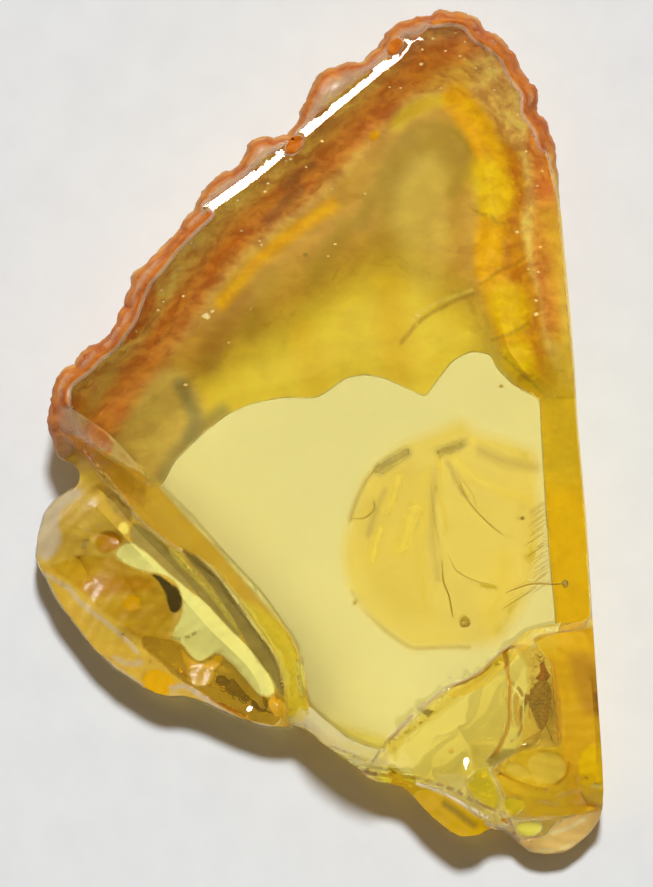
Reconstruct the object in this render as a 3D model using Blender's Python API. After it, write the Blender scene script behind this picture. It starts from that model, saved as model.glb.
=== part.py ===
"""Insect in amber: a polished slice of a resin nodule with two small insects sealed in it.

The slice lies on its flat, polished underside. Its top is a flat polished face with a rounded rim.
The upper left and upper right keep the bumpy natural rind, which undercuts the slice. The right
side is a sloping sawn face. At the lower left the stone steps down a steep break to a thin ledge,
and the lower right is broken in shells. Two insects lie in pockets, so the clear solid is parted
in two on a level surface through both pockets.

Lengths are in millimetres until a mesh is made. +X is right, +Y is up the slice, +Z is its top.
"""

import math

import bmesh
import bpy
from mathutils import Matrix, Vector, kdtree, noise
from mathutils.bvhtree import BVHTree
from mathutils.geometry import delaunay_2d_cdt

MM = 0.001

# ---- driving dimensions, mm -------------------------------------------------------------------
THICKNESS = 4.8            # underside to polished top face
PARTING_HEIGHT = 1.15      # level of the parting surface through both pockets
PARTING_GAP = 0.3          # clear gap between the two halves
BEVEL_DROP = 0.28          # how far the rounded rim falls across its width
LEDGE_HEIGHT = 2.15        # top of the thin ledge at the lower left
HOLLOW_HEIGHT = 0.42       # the natural underside above the ground, in the cloudy part
RIND_SHOULDER = 1.12       # height where the underside turns up towards the rind
FAN_DEPTH = 0.22           # depth of the shell-shaped hollow in the underside
GRID = 0.62                # spacing of the points between the drawn lines
GRID_CLEARANCE = 0.33      # how near a grid point may come to a drawn line
BUMP_SIZE = 1.1            # size of the bumps on the natural rind
BUMP_HEIGHT = 0.16         # their height
MAIN_INSECT_LENGTH = 2.6   # tip to tip, without legs and antennae
SMALL_INSECT_LENGTH = 1.75
MAIN_INSECT_PLACE = (7.46, -8.42)
SMALL_INSECT_PLACE = (-2.72, -8.55)
SMALL_INSECT_TURN = -32.0  # degrees from +X
MAIN_POCKET = (1.95, 0.95, 0.62)   # half lengths of the oval pocket round the larger insect
SMALL_POCKET = (1.42, 0.66, 0.42)  # and round the smaller one

# ---- outline, clockwise from the top: name, height of its upper and lower edge, points ----------
OUTLINE = [
    ("rind_top_right", 3.9, 2.7, [
        (4.02, 13.97), (4.55, 14.00), (5.05, 13.87), (5.25, 13.47), (5.92, 13.07), (6.38, 12.63),
        (6.55, 12.07), (7.12, 11.47), (6.98, 10.87), (7.45, 10.27), (7.62, 9.67), (7.78, 9.07)]),
    ("sawn_side_over_rind", 4.5, 2.1, [
        (7.88, 8.20), (8.02, 7.27), (8.17, 5.60), (8.32, 3.97), (8.45, 2.30)]),
    ("sawn_side", 4.55, 1.3, [
        (8.55, 0.53), (8.82, -2.47), (8.95, -4.40), (9.08, -6.43)]),
    ("sawn_side_by_break", 3.7, 1.2, [
        (9.22, -8.40), (9.38, -10.57), (9.45, -11.70)]),
    ("rounded_tip", 1.4, 0.3, [
        (9.42, -12.43), (9.25, -12.90), (8.82, -13.40), (8.22, -13.83), (7.62, -13.93),
        (7.02, -13.83), (6.48, -13.33), (6.12, -13.10)]),
    ("broken_lower_edge", 1.8, 0.3, [
        (5.72, -13.03), (5.28, -13.27), (4.75, -13.33), (4.32, -13.10), (3.85, -12.73),
        (3.42, -12.30), (2.95, -11.77), (2.65, -11.60), (1.82, -11.47), (1.22, -11.00),
        (0.62, -10.57), (0.08, -10.20), (-0.35, -9.80)]),
    ("ledge", 1.6, 0.35, [
        (-0.82, -9.60), (-1.68, -9.67), (-2.25, -9.50), (-3.08, -9.17), (-3.92, -8.80),
        (-4.55, -8.60), (-5.18, -8.63), (-5.75, -8.40), (-6.32, -8.03), (-6.85, -7.67),
        (-7.35, -7.20), (-7.85, -6.63), (-8.32, -6.00), (-8.68, -5.53), (-8.98, -4.97),
        (-9.22, -4.53), (-9.45, -3.97), (-9.35, -3.27), (-9.18, -2.57), (-8.88, -2.17),
        (-8.48, -1.87), (-8.05, -1.67)]),
    ("notch", 2.1, 1.2, [
        (-7.95, -1.17), (-8.25, -0.83), (-8.68, -0.67)]),
    ("rind_left", 3.7, 2.6, [
        (-8.78, -0.10), (-8.85, 0.63), (-8.75, 1.33), (-8.65, 1.90), (-8.42, 2.20), (-8.02, 2.20),
        (-7.85, 2.60), (-7.55, 2.83), (-7.08, 3.07), (-6.92, 3.43), (-6.58, 3.77), (-6.38, 4.20),
        (-6.15, 4.70), (-5.98, 5.33), (-5.75, 5.60), (-5.45, 5.80), (-5.22, 6.03), (-4.75, 6.57),
        (-4.25, 7.13), (-3.98, 7.60), (-3.68, 8.17), (-3.15, 8.60), (-2.52, 8.93), (-2.32, 9.37),
        (-2.12, 9.70), (-1.75, 9.83), (-1.42, 9.77), (-0.92, 9.90), (-0.58, 10.40),
        (-0.35, 11.10), (-0.08, 11.67), (0.35, 12.07), (0.95, 12.27), (1.55, 12.33),
        (1.95, 12.77), (2.35, 13.27), (2.82, 13.70), (3.52, 13.87)]),
]

# ---- drawn lines of the upper side: points, and the height at each end --------------------------
TOP_FACE_EDGE = [
    (3.75, 13.43), (4.42, 13.53), (5.02, 13.10), (5.62, 12.50), (6.02, 11.77), (6.35, 11.10),
    (6.62, 10.37), (6.98, 9.57), (7.40, 8.83), (7.70, 8.03), (8.05, 4.57), (8.30, 1.43),
    (8.52, -1.27), (8.70, -4.03), (8.80, -6.03), (7.90, -6.15), (6.85, -6.43), (6.12, -7.10), (5.35, -7.87),
    (4.45, -8.23), (3.55, -9.00), (2.65, -9.73), (1.95, -10.37), (1.08, -10.03), (0.35, -9.50),
    (-0.25, -8.97), (-0.52, -8.37), (-0.65, -7.43), (-0.72, -6.97), (-1.18, -6.20),
    (-1.98, -5.13), (-3.28, -3.73), (-4.35, -2.50), (-5.25, -1.63), (-6.18, -0.67),
    (-7.05, 0.17), (-7.72, 0.83), (-7.98, 1.40), (-7.58, 2.10), (-6.92, 2.63), (-6.38, 3.23),
    (-5.92, 4.07), (-5.58, 4.90), (-4.98, 5.63), (-4.32, 6.37), (-3.58, 7.17), (-2.32, 8.10),
    (-0.78, 9.23), (-0.25, 9.80), (1.02, 10.87), (2.42, 12.03), (3.02, 12.63), (3.75, 13.43)]
RIM_OUTER_EDGE = [
    (-3.88, 7.45), (-2.58, 8.40), (-1.05, 9.55), (-0.50, 10.10), (0.72, 11.20), (2.15, 12.35),
    (2.75, 12.98), (3.45, 13.60)]
BREAK_FOOT = [
    (-7.58, -0.97), (-6.78, -1.57), (-5.92, -2.33), (-5.02, -3.20), (-3.98, -4.40),
    (-2.68, -5.80), (-1.92, -6.80), (-1.48, -7.57), (-1.22, -8.60), (-1.02, -9.10)]
LEDGE_GROOVE = [
    (-7.32, -1.77), (-6.92, -2.13), (-6.08, -3.13), (-4.55, -4.67), (-3.28, -6.13),
    (-2.10, -7.30), (-1.62, -8.07), (-1.45, -8.77)]
LEDGE_FACE_EDGE = [
    (-7.40, -2.35), (-6.38, -3.47), (-4.92, -4.97), (-3.65, -6.43), (-2.45, -7.57),
    (-2.02, -8.23), (-1.85, -8.97)]
LEDGE_RIDGES = [
    (2.3, 2.05, [(-8.75, -2.85), (-7.65, -3.10), (-6.75, -3.40)]),
    (1.95, 2.0, [(-8.55, -5.00), (-7.32, -5.30), (-5.98, -5.57), (-4.92, -6.50)]),
    (2.0, 2.05, [(-4.92, -6.50), (-4.12, -7.33), (-3.28, -7.53), (-2.30, -8.77)]),
    (2.1, 2.0, [(-6.92, -3.97), (-6.25, -5.10), (-5.98, -5.57)]),
    (1.6, 1.6, [(-8.05, -4.05), (-7.75, -4.60)]),
    (1.6, 1.65, [(-6.60, -6.60), (-5.60, -7.30), (-4.70, -7.75)]),
]
BROKEN_FIELD_LINES = [
    (4.4, 3.6, [(8.62, -6.45), (7.82, -6.50), (7.02, -6.88), (6.35, -7.48), (5.55, -8.25), (4.65, -8.65),
                (3.75, -9.42), (2.92, -10.15), (2.38, -10.75)]),
    (3.9, 3.1, [(8.75, -8.10), (8.85, -10.10), (8.80, -11.50)]),
    (4.1, 3.2, [(6.25, -8.30), (6.18, -9.43), (5.95, -10.27), (4.92, -11.30), (4.02, -11.10)]),
    (2.9, 2.9, [(6.02, -11.23), (6.82, -11.57), (7.52, -11.70)]),
    (3.5, 3.3, [(6.82, -8.60), (6.75, -10.20)]),
    (3.3, 3.1, [(4.55, -9.60), (5.05, -10.40)]),
    (2.6, 2.4, [(2.45, -11.10), (2.95, -11.40), (3.72, -11.70), (4.75, -12.13), (5.72, -12.60),
                (6.25, -12.90)]),
    (1.7, 1.9, [(7.02, -13.50), (7.62, -13.10), (8.35, -12.67), (9.05, -12.30)]),
]

# ---- drawn lines of the underside ---------------------------------------------------------------
GROUND_LINE = [                      # scalloped edge where the polished underside begins
    (-6.35, -1.75), (-5.28, -1.63), (-4.82, -0.77), (-3.98, 0.07), (-3.08, 0.77), (-2.25, 1.13),
    (-1.18, 1.33), (-0.12, 1.30), (0.32, 1.57), (0.85, 1.97), (1.52, 2.10), (2.18, 1.97),
    (2.82, 1.67), (3.55, 1.33), (3.85, 1.80), (4.45, 2.57), (5.05, 2.87), (5.72, 2.77),
    (5.88, 2.33), (6.48, 1.73), (7.35, 1.30)]
GROUND_EDGE = [                      # outer edge of the polished underside
    (7.35, 1.30), (7.48, -1.27), (7.68, -4.03), (7.88, -6.03), (8.05, -8.10), (8.22, -10.10),
    (8.35, -11.70), (8.20, -12.80), (7.60, -13.35), (6.80, -13.00), (6.20, -12.55), (4.90, -12.75), (4.20, -12.30),
    (3.30, -11.40), (2.10, -11.00), (0.50, -9.90), (-0.55, -9.05), (-1.75, -9.10),
    (-3.20, -8.55), (-4.60, -8.05), (-5.60, -7.75), (-6.80, -6.90), (-7.90, -5.60),
    (-8.60, -4.40), (-8.65, -3.20), (-7.90, -2.35), (-7.20, -1.95), (-6.35, -1.75)]
HOLLOW_EDGE = [                      # a little beyond the scallops, where the hollow has begun
    (-6.20, -0.95), (-5.05, -0.05), (-4.20, 0.78), (-3.20, 1.45), (-2.25, 1.78), (-1.15, 1.95),
    (-0.25, 1.95), (0.60, 2.52), (1.52, 2.78), (2.50, 2.58), (3.30, 2.20), (4.05, 3.05),
    (5.02, 3.52)]
RIND_SHOULDER_LEFT = [
    (4.02, 11.07), (2.68, 10.50), (1.35, 9.50), (0.02, 8.33), (-0.98, 7.33), (-2.15, 6.33),
    (-2.98, 5.00), (-3.82, 4.17), (-4.48, 2.90), (-5.65, 2.10), (-6.65, 1.50), (-7.32, 0.80)]
RIND_SHOULDER_RIGHT = [
    (4.02, 11.07), (5.02, 10.57), (5.52, 9.23), (5.75, 7.57), (5.75, 5.90), (5.95, 4.23),
    (6.28, 2.90), (6.90, 2.10)]
FURROW = [(2.48, 9.07), (3.02, 9.80), (3.85, 10.37), (4.62, 10.03), (5.05, 9.43)]
FAN_EDGE = [
    (4.75, 0.63), (5.22, 0.17), (6.32, -0.13), (7.18, -0.57), (7.32, -2.77), (7.25, -4.60),
    (6.68, -5.83), (5.72, -6.73), (5.12, -7.03), (3.92, -7.03), (3.32, -7.20), (2.92, -7.10),
    (2.42, -6.67), (1.55, -6.03), (0.82, -5.30), (0.72, -4.43), (0.88, -3.17), (1.05, -2.57),
    (1.42, -1.73), (2.02, -0.97), (3.02, -0.20), (3.92, 0.17), (4.75, 0.63)]
FAN_APEX = (4.75, 0.05)
FAN_RIBS = 9


def outline_points():
    """The outline's points as (x, y, upper edge, lower edge), heights eased from one stretch on."""
    points = [(x, y, top, low) for _, top, low, run in OUTLINE for x, y in run]
    for _ in range(2):
        eased = []
        for i, (x, y, top, low) in enumerate(points):
            before, after = points[i - 1], points[(i + 1) % len(points)]
            eased.append((x, y, (before[2] + 2 * top + after[2]) / 4,
                          (before[3] + 2 * low + after[3]) / 4))
        points = eased
    return points


def shifted_to_centre(points, lines):
    """The same points and lines with the middle of the outline's box at x = y = 0."""
    centre_x = (min(p[0] for p in points) + max(p[0] for p in points)) / 2
    centre_y = (min(p[1] for p in points) + max(p[1] for p in points)) / 2
    moved = [(x - centre_x, y - centre_y, top, low) for x, y, top, low in points]
    return moved, [[(x - centre_x, y - centre_y, z) for x, y, z in line] for line in lines], \
        (centre_x, centre_y)


def line_at(points, start, end=None):
    """A drawn line with a height at each point, going evenly from start to end."""
    end = start if end is None else end
    last = max(1, len(points) - 1)
    return [(x, y, start + (end - start) * i / last) for i, (x, y) in enumerate(points)]


def upper_lines():
    """Every drawn line of the upper side."""
    lines = [line_at(TOP_FACE_EDGE, THICKNESS),
             line_at(RIM_OUTER_EDGE, THICKNESS - BEVEL_DROP),
             line_at(BREAK_FOOT, LEDGE_HEIGHT + 0.35, LEDGE_HEIGHT + 0.1),
             line_at(LEDGE_GROOVE, LEDGE_HEIGHT - 0.25),
             line_at(LEDGE_FACE_EDGE, LEDGE_HEIGHT)]
    lines += [line_at(points, start, end) for start, end, points in LEDGE_RIDGES]
    lines += [line_at(points, start, end) for start, end, points in BROKEN_FIELD_LINES]
    return lines


def fan_lines():
    """The edge of the shell-shaped hollow and its ribs, which spread from the apex."""
    lines = [line_at(FAN_EDGE, 0.0)]
    apex = Vector(FAN_APEX)
    for rib in range(FAN_RIBS):
        target = Vector(FAN_EDGE[3 + round(rib * (len(FAN_EDGE) - 7) / (FAN_RIBS - 1))])
        depth = FAN_DEPTH * (1.0 if rib % 2 else 0.45)
        run = []
        for share in (0.22, 0.45, 0.68, 0.86):
            x, y = apex.lerp(target, share)
            run.append((x, y, depth * math.sin(math.pi * share) + 0.02))
        lines.append(run)
    return lines


def lower_lines():
    """Every drawn line of the underside."""
    return [line_at(GROUND_LINE, 0.0),
            line_at(GROUND_EDGE, 0.0),
            line_at(HOLLOW_EDGE, HOLLOW_HEIGHT),
            line_at(RIND_SHOULDER_LEFT, RIND_SHOULDER),
            line_at(RIND_SHOULDER_RIGHT, RIND_SHOULDER),
            line_at(FURROW, RIND_SHOULDER + 0.1)] + fan_lines()


def triangulate(outline, lines, extra=()):
    """Triangles inside the outline with every line kept as edges.

    Returns the points as (x, y, z), the triangles, and where each outline point went.
    """
    heights = [(p[0], p[1], p[2]) for p in outline]
    edges = [(i, (i + 1) % len(outline)) for i in range(len(outline))]
    for line in lines:
        first = len(heights)
        heights += line
        edges += [(first + i, first + i + 1) for i in range(len(line) - 1)]
    heights += list(extra)
    flat = [Vector((x, y)) for x, y, _ in heights]
    points, _, faces, sources, _, _ = delaunay_2d_cdt(flat, edges, [], 1, 1e-4)
    placed = []
    for point, source in zip(points, sources):
        z = heights[source[0]][2] if source else None
        placed.append([point.x, point.y, z])
    ring = {i: new for new, source in enumerate(sources) for i in source if i < len(outline)}
    for p in placed:
        if p[2] is None:             # a crossing of two lines takes the height of its neighbour
            p[2] = min((q for q in placed if q[2] is not None),
                       key=lambda q: (q[0] - p[0]) ** 2 + (q[1] - p[1]) ** 2)[2]
    return placed, [tuple(f) for f in faces], [ring[i] for i in range(len(outline))]


def surface_tree(points, faces):
    """A tree that finds the height of a drawn surface below a point."""
    return BVHTree.FromPolygons([Vector(p) for p in points], faces)


def height_on(tree, x, y):
    """The height of the surface at (x, y), or None outside it."""
    hit = tree.ray_cast(Vector((x, y, 50.0)), Vector((0.0, 0.0, -1.0)))[0]
    return None if hit is None else hit.z


def inside_polygon(x, y, polygon):
    """Whether (x, y) lies inside the polygon."""
    inside = False
    for i, (ax, ay) in enumerate(polygon):
        bx, by = polygon[i - 1]
        if (ay > y) != (by > y) and x < (bx - ax) * (y - ay) / (by - ay) + ax:
            inside = not inside
    return inside


def grid_points(outline, lines, tree, bumpy, shape_bump):
    """Points between the drawn lines, moved by the rind's bumps where the surface is rough."""
    taken = [(p[0], p[1]) for p in outline]
    for line in lines:
        for (ax, ay, _), (bx, by, _) in zip(line, line[1:]):
            steps = max(1, int(math.hypot(bx - ax, by - ay) / (GRID_CLEARANCE * 0.7)))
            taken += [(ax + (bx - ax) * s / steps, ay + (by - ay) * s / steps)
                      for s in range(steps + 1)]
    for (ax, ay, *_), (bx, by, *_) in zip(outline, outline[1:] + outline[:1]):
        taken.append(((ax + bx) / 2, (ay + by) / 2))
    tree_2d = kdtree.KDTree(len(taken))
    for i, (x, y) in enumerate(taken):
        tree_2d.insert((x, y, 0.0), i)
    tree_2d.balance()
    low_x, high_x = min(p[0] for p in outline), max(p[0] for p in outline)
    low_y, high_y = min(p[1] for p in outline), max(p[1] for p in outline)
    found = []
    row = 0
    y = low_y
    while y < high_y:
        x = low_x + (GRID / 2 if row % 2 else 0.0)
        while x < high_x:
            if tree_2d.find((x, y, 0.0))[2] > GRID_CLEARANCE and bumpy(x, y):
                z = height_on(tree, x, y)
                if z is not None:
                    bump = shape_bump(noise.noise(Vector((x, y, 3.0)) / BUMP_SIZE))
                    found.append((x, y, z + bump * BUMP_HEIGHT * 2))
            x += GRID
        y += GRID * math.sqrt(3) / 2
        row += 1
    return found


def amber_mesh():
    """The whole slice as one closed surface: its points in mm, faces, and its shift to the middle."""
    points = outline_points()
    upper, lower = upper_lines(), lower_lines()
    points, moved, centre = shifted_to_centre(points, upper + lower)
    upper, lower = moved[:len(upper)], moved[len(upper):]
    ring_top = [(x, y, top) for x, y, top, _ in points]
    ring_low = [(x, y, low) for x, y, _, low in points]
    polished_top = [(x, y) for x, y, _ in upper[0]]
    polished_low = [(x, y) for x, y, _ in lower[0] + lower[1][1:]]

    def rough_above(x, y):
        return not inside_polygon(x, y, polished_top)

    def rough_below(x, y):
        return not inside_polygon(x, y, polished_low)

    def side(ring, lines, rough, shape_bump):
        drawn, drawn_faces, _ = triangulate(ring, lines)
        tree = surface_tree(drawn, drawn_faces)
        return triangulate(ring, lines, grid_points(ring, lines, tree, rough, shape_bump))

    top, top_faces, top_ring = side(ring_top, upper, rough_above, float)
    low, low_faces, low_ring = side(ring_low, lower, rough_below, abs)
    verts = top + low
    faces = [tuple(f) if turns_left(top, f) else tuple(reversed(f)) for f in top_faces]
    shift = len(top)
    faces += [tuple(shift + i for i in (reversed(f) if turns_left(low, f) else f))
              for f in low_faces]
    count = len(points)
    for i in range(count):
        j = (i + 1) % count
        faces.append((top_ring[i], top_ring[j], shift + low_ring[j], shift + low_ring[i]))
    return verts, faces, centre


def turns_left(points, face):
    """Whether the face runs anticlockwise seen from above."""
    a, b, c = (points[i] for i in face[:3])
    return (b[0] - a[0]) * (c[1] - a[1]) - (b[1] - a[1]) * (c[0] - a[0]) > 0


def material(name, colour, roughness, alpha=1.0, transmission=0.0):
    """A material with its Principled colour, roughness and clearness."""
    made = bpy.data.materials.new(name)
    made.use_nodes = True
    shader = made.node_tree.nodes["Principled BSDF"]
    shader.inputs["Base Color"].default_value = (*colour, 1.0)
    shader.inputs["Roughness"].default_value = roughness
    shader.inputs["Metallic"].default_value = 0.0
    shader.inputs["IOR"].default_value = 1.54
    shader.inputs["Alpha"].default_value = alpha
    shader.inputs["Transmission Weight"].default_value = transmission
    made.diffuse_color = (*colour, alpha)
    return made


def new_object(name, mesh, finish=None):
    """An object for the mesh, in the scene."""
    made = bpy.data.objects.new(name, mesh)
    bpy.context.scene.collection.objects.link(made)
    if finish:
        mesh.materials.append(finish)
    return made


def closed_mesh(name, verts, faces):
    """A mesh in metres from points in mm, with its faces pointing out."""
    mesh = bpy.data.meshes.new(name)
    mesh.from_pydata([(x * MM, y * MM, z * MM) for x, y, z in verts], [], faces)
    work = bmesh.new()
    work.from_mesh(mesh)
    bmesh.ops.triangulate(work, faces=[f for f in work.faces if len(f.verts) > 3])
    bmesh.ops.recalc_face_normals(work, faces=work.faces)
    work.to_mesh(mesh)
    work.free()
    return mesh


def helper(name, mesh):
    """A cutter or a limb that is joined on: it takes part in Booleans and isn't shown."""
    made = new_object(name, mesh)
    made.hide_render = True
    made.display_type = "WIRE"
    return made


def box_mesh(name, low, high):
    """A closed box between two corners in mm."""
    work = bmesh.new()
    bmesh.ops.create_cube(work, size=1.0)
    size = [h - l for l, h in zip(low, high)]
    middle = [(h + l) / 2 for l, h in zip(low, high)]
    bmesh.ops.scale(work, vec=[s * MM for s in size], verts=work.verts)
    bmesh.ops.translate(work, vec=[m * MM for m in middle], verts=work.verts)
    mesh = bpy.data.meshes.new(name)
    work.to_mesh(mesh)
    work.free()
    return mesh


def ball_mesh(name, radii, place=(0.0, 0.0, 0.0), turn=0.0, segments=16, rings=10):
    """A closed ellipsoid with three radii, turned about +Z and placed, in mm."""
    work = bmesh.new()
    bmesh.ops.create_uvsphere(work, u_segments=segments, v_segments=rings, radius=1.0)
    bmesh.ops.scale(work, vec=[r * MM for r in radii], verts=work.verts)
    bmesh.ops.rotate(work, matrix=Matrix.Rotation(turn, 3, "Z"), verts=work.verts)
    bmesh.ops.translate(work, vec=[p * MM for p in place], verts=work.verts)
    mesh = bpy.data.meshes.new(name)
    work.to_mesh(mesh)
    work.free()
    return mesh


def boolean(target, operand, operation):
    """Adds an exact Boolean modifier."""
    modifier = target.modifiers.new(operation.lower(), "BOOLEAN")
    modifier.operation = operation
    modifier.solver = "EXACT"
    modifier.object = operand


def boolean_group(target, collection, operation):
    """Adds one exact Boolean modifier with a whole collection."""
    modifier = target.modifiers.new(operation.lower(), "BOOLEAN")
    modifier.operation = operation
    modifier.solver = "EXACT"
    modifier.operand_type = "COLLECTION"
    modifier.collection = collection


# ---- insects ------------------------------------------------------------------------------------
# A body is a row of (share of its length from the head tip, half width, half height), in mm.
MAIN_BODY = [
    (0.00, 0.05, 0.05), (0.04, 0.13, 0.12), (0.12, 0.20, 0.18), (0.19, 0.17, 0.16),
    (0.24, 0.13, 0.12), (0.30, 0.24, 0.24), (0.40, 0.33, 0.32), (0.50, 0.34, 0.31),
    (0.56, 0.27, 0.24), (0.60, 0.30, 0.26), (0.68, 0.34, 0.29), (0.78, 0.29, 0.25),
    (0.88, 0.20, 0.17), (0.96, 0.10, 0.09), (1.00, 0.04, 0.04)]
SMALL_BODY = [
    (0.00, 0.06, 0.06), (0.06, 0.15, 0.14), (0.16, 0.20, 0.18), (0.24, 0.14, 0.13),
    (0.32, 0.22, 0.21), (0.46, 0.26, 0.24), (0.54, 0.19, 0.17), (0.66, 0.26, 0.22),
    (0.82, 0.22, 0.18), (0.94, 0.11, 0.10), (1.00, 0.05, 0.05)]
# A limb is its thickness at each end and its points (along the body, sideways, up) in mm, from
# the middle of the body, the head end being +.
MAIN_LIMBS = [
    (0.055, 0.040, [(1.15, 0.06, 0.0), (1.32, 0.16, 0.05), (1.42, 0.30, 0.03)]),
    (0.055, 0.040, [(1.15, -0.06, 0.0), (1.30, -0.18, 0.05), (1.36, -0.32, 0.03)]),
    (0.060, 0.045, [(0.35, 0.15, -0.15), (0.50, 0.46, -0.10), (0.66, 0.50, -0.22)]),
    (0.060, 0.045, [(0.35, -0.15, -0.15), (0.52, -0.48, -0.10), (0.70, -0.50, -0.22)]),
    (0.060, 0.045, [(0.10, 0.18, -0.15), (-0.05, 0.50, -0.10), (-0.42, 0.52, -0.24)]),
    (0.060, 0.045, [(0.10, -0.18, -0.15), (-0.08, -0.52, -0.10), (-0.38, -0.55, -0.24)]),
    (0.065, 0.045, [(-0.15, 0.16, -0.12), (-0.80, 0.42, -0.02), (-1.30, 0.16, -0.16),
                    (-1.48, -0.30, -0.20)]),
    (0.065, 0.045, [(-0.15, -0.16, -0.12), (-0.85, -0.40, -0.02), (-1.30, -0.22, -0.16),
                    (-1.62, 0.34, -0.20)]),
]
SMALL_LIMBS = [
    (0.050, 0.036, [(0.78, 0.05, 0.0), (0.98, 0.14, 0.04), (1.08, 0.10, 0.02)]),
    (0.050, 0.036, [(0.78, -0.05, 0.0), (0.92, -0.20, 0.04), (1.02, -0.24, 0.02)]),
    (0.050, 0.036, [(0.15, 0.12, -0.08), (0.28, 0.36, -0.05), (0.44, 0.38, -0.12)]),
    (0.050, 0.036, [(0.15, -0.12, -0.08), (0.28, -0.36, -0.05), (0.44, -0.38, -0.12)]),
    (0.050, 0.036, [(-0.05, 0.12, -0.08), (-0.22, 0.38, -0.05), (-0.42, 0.36, -0.12)]),
    (0.050, 0.036, [(-0.05, -0.12, -0.08), (-0.22, -0.38, -0.05), (-0.42, -0.36, -0.12)]),
    (0.050, 0.036, [(-0.70, 0.02, 0.0), (-1.00, 0.03, 0.02), (-1.20, -0.06, 0.0)]),
]
BODY_SIDES = 14
LIMB_SIDES = 6


def lofted_body(name, length, rows):
    """A closed body along X, head end at +X, with a ring of points for each row."""
    verts, faces = [], []
    for share, half_width, half_height in rows:
        x = length * (0.5 - share)
        for k in range(BODY_SIDES):
            angle = 2 * math.pi * k / BODY_SIDES
            verts.append((x, half_width * math.cos(angle), half_height * math.sin(angle)))
    for r in range(len(rows) - 1):
        for k in range(BODY_SIDES):
            a, b = r * BODY_SIDES + k, r * BODY_SIDES + (k + 1) % BODY_SIDES
            faces.append((a, b, b + BODY_SIDES, a + BODY_SIDES))
    faces.append(tuple(range(BODY_SIDES)))
    faces.append(tuple(range(len(verts) - BODY_SIDES, len(verts))))
    return closed_mesh(name, verts, faces)


def limb_mesh(name, thick, thin, points):
    """A closed, tapering, jointed limb through the points."""
    verts, faces = [], []
    path = [Vector(p) for p in points]
    for i, point in enumerate(path):
        along = (path[min(i + 1, len(path) - 1)] - path[max(i - 1, 0)]).normalized()
        side = along.cross(Vector((0.0, 0.0, 1.0))).normalized()
        up = side.cross(along)
        radius = thick + (thin - thick) * i / (len(path) - 1)
        for k in range(LIMB_SIDES):
            angle = 2 * math.pi * k / LIMB_SIDES
            verts.append(point + (side * math.cos(angle) + up * math.sin(angle)) * radius)
    for r in range(len(path) - 1):
        for k in range(LIMB_SIDES):
            a, b = r * LIMB_SIDES + k, r * LIMB_SIDES + (k + 1) % LIMB_SIDES
            faces.append((a, b, b + LIMB_SIDES, a + LIMB_SIDES))
    faces.append(tuple(range(LIMB_SIDES)))
    faces.append(tuple(range(len(verts) - LIMB_SIDES, len(verts))))
    return closed_mesh(name, verts, faces)


def wing_mesh(name, side):
    """A folded wing, a thin closed leaf that lies along the back, out to one side."""
    work = bmesh.new()
    bmesh.ops.create_uvsphere(work, u_segments=12, v_segments=6, radius=1.0)
    bmesh.ops.scale(work, vec=(0.72 * MM, 0.21 * MM, 0.045 * MM), verts=work.verts)
    bmesh.ops.rotate(work, matrix=Matrix.Rotation(side * math.radians(9), 3, "Z"),
                     verts=work.verts)
    bmesh.ops.rotate(work, matrix=Matrix.Rotation(-side * math.radians(24), 3, "X"),
                     verts=work.verts)
    bmesh.ops.translate(work, vec=(-0.42 * MM, -side * 0.17 * MM, 0.27 * MM), verts=work.verts)
    mesh = bpy.data.meshes.new(name)
    work.to_mesh(mesh)
    work.free()
    return mesh


def insect(name, length, rows, limbs, winged, place, turn, finish):
    """One insect: its body with limbs, and wings if it has them, joined to one closed solid."""
    body = new_object(name, lofted_body(name, length, rows), finish)
    joined = bpy.data.collections.new(name + "_joined_on")
    bpy.context.scene.collection.children.link(joined)
    meshes = [limb_mesh(name + "_limb", *limb) for limb in limbs]
    if winged:
        meshes += [wing_mesh(name + "_wing", side) for side in (1, -1)]
    where = Matrix.Translation(Vector(place) * MM) @ Matrix.Rotation(turn, 4, "Z")
    for number, mesh in enumerate(meshes):
        part = bpy.data.objects.new(name + "_joined_" + str(number), mesh)
        joined.objects.link(part)
        part.hide_render = True
        part.display_type = "WIRE"
        part.matrix_world = where
    body.matrix_world = where
    boolean_group(body, joined, "UNION")
    return body


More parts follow.
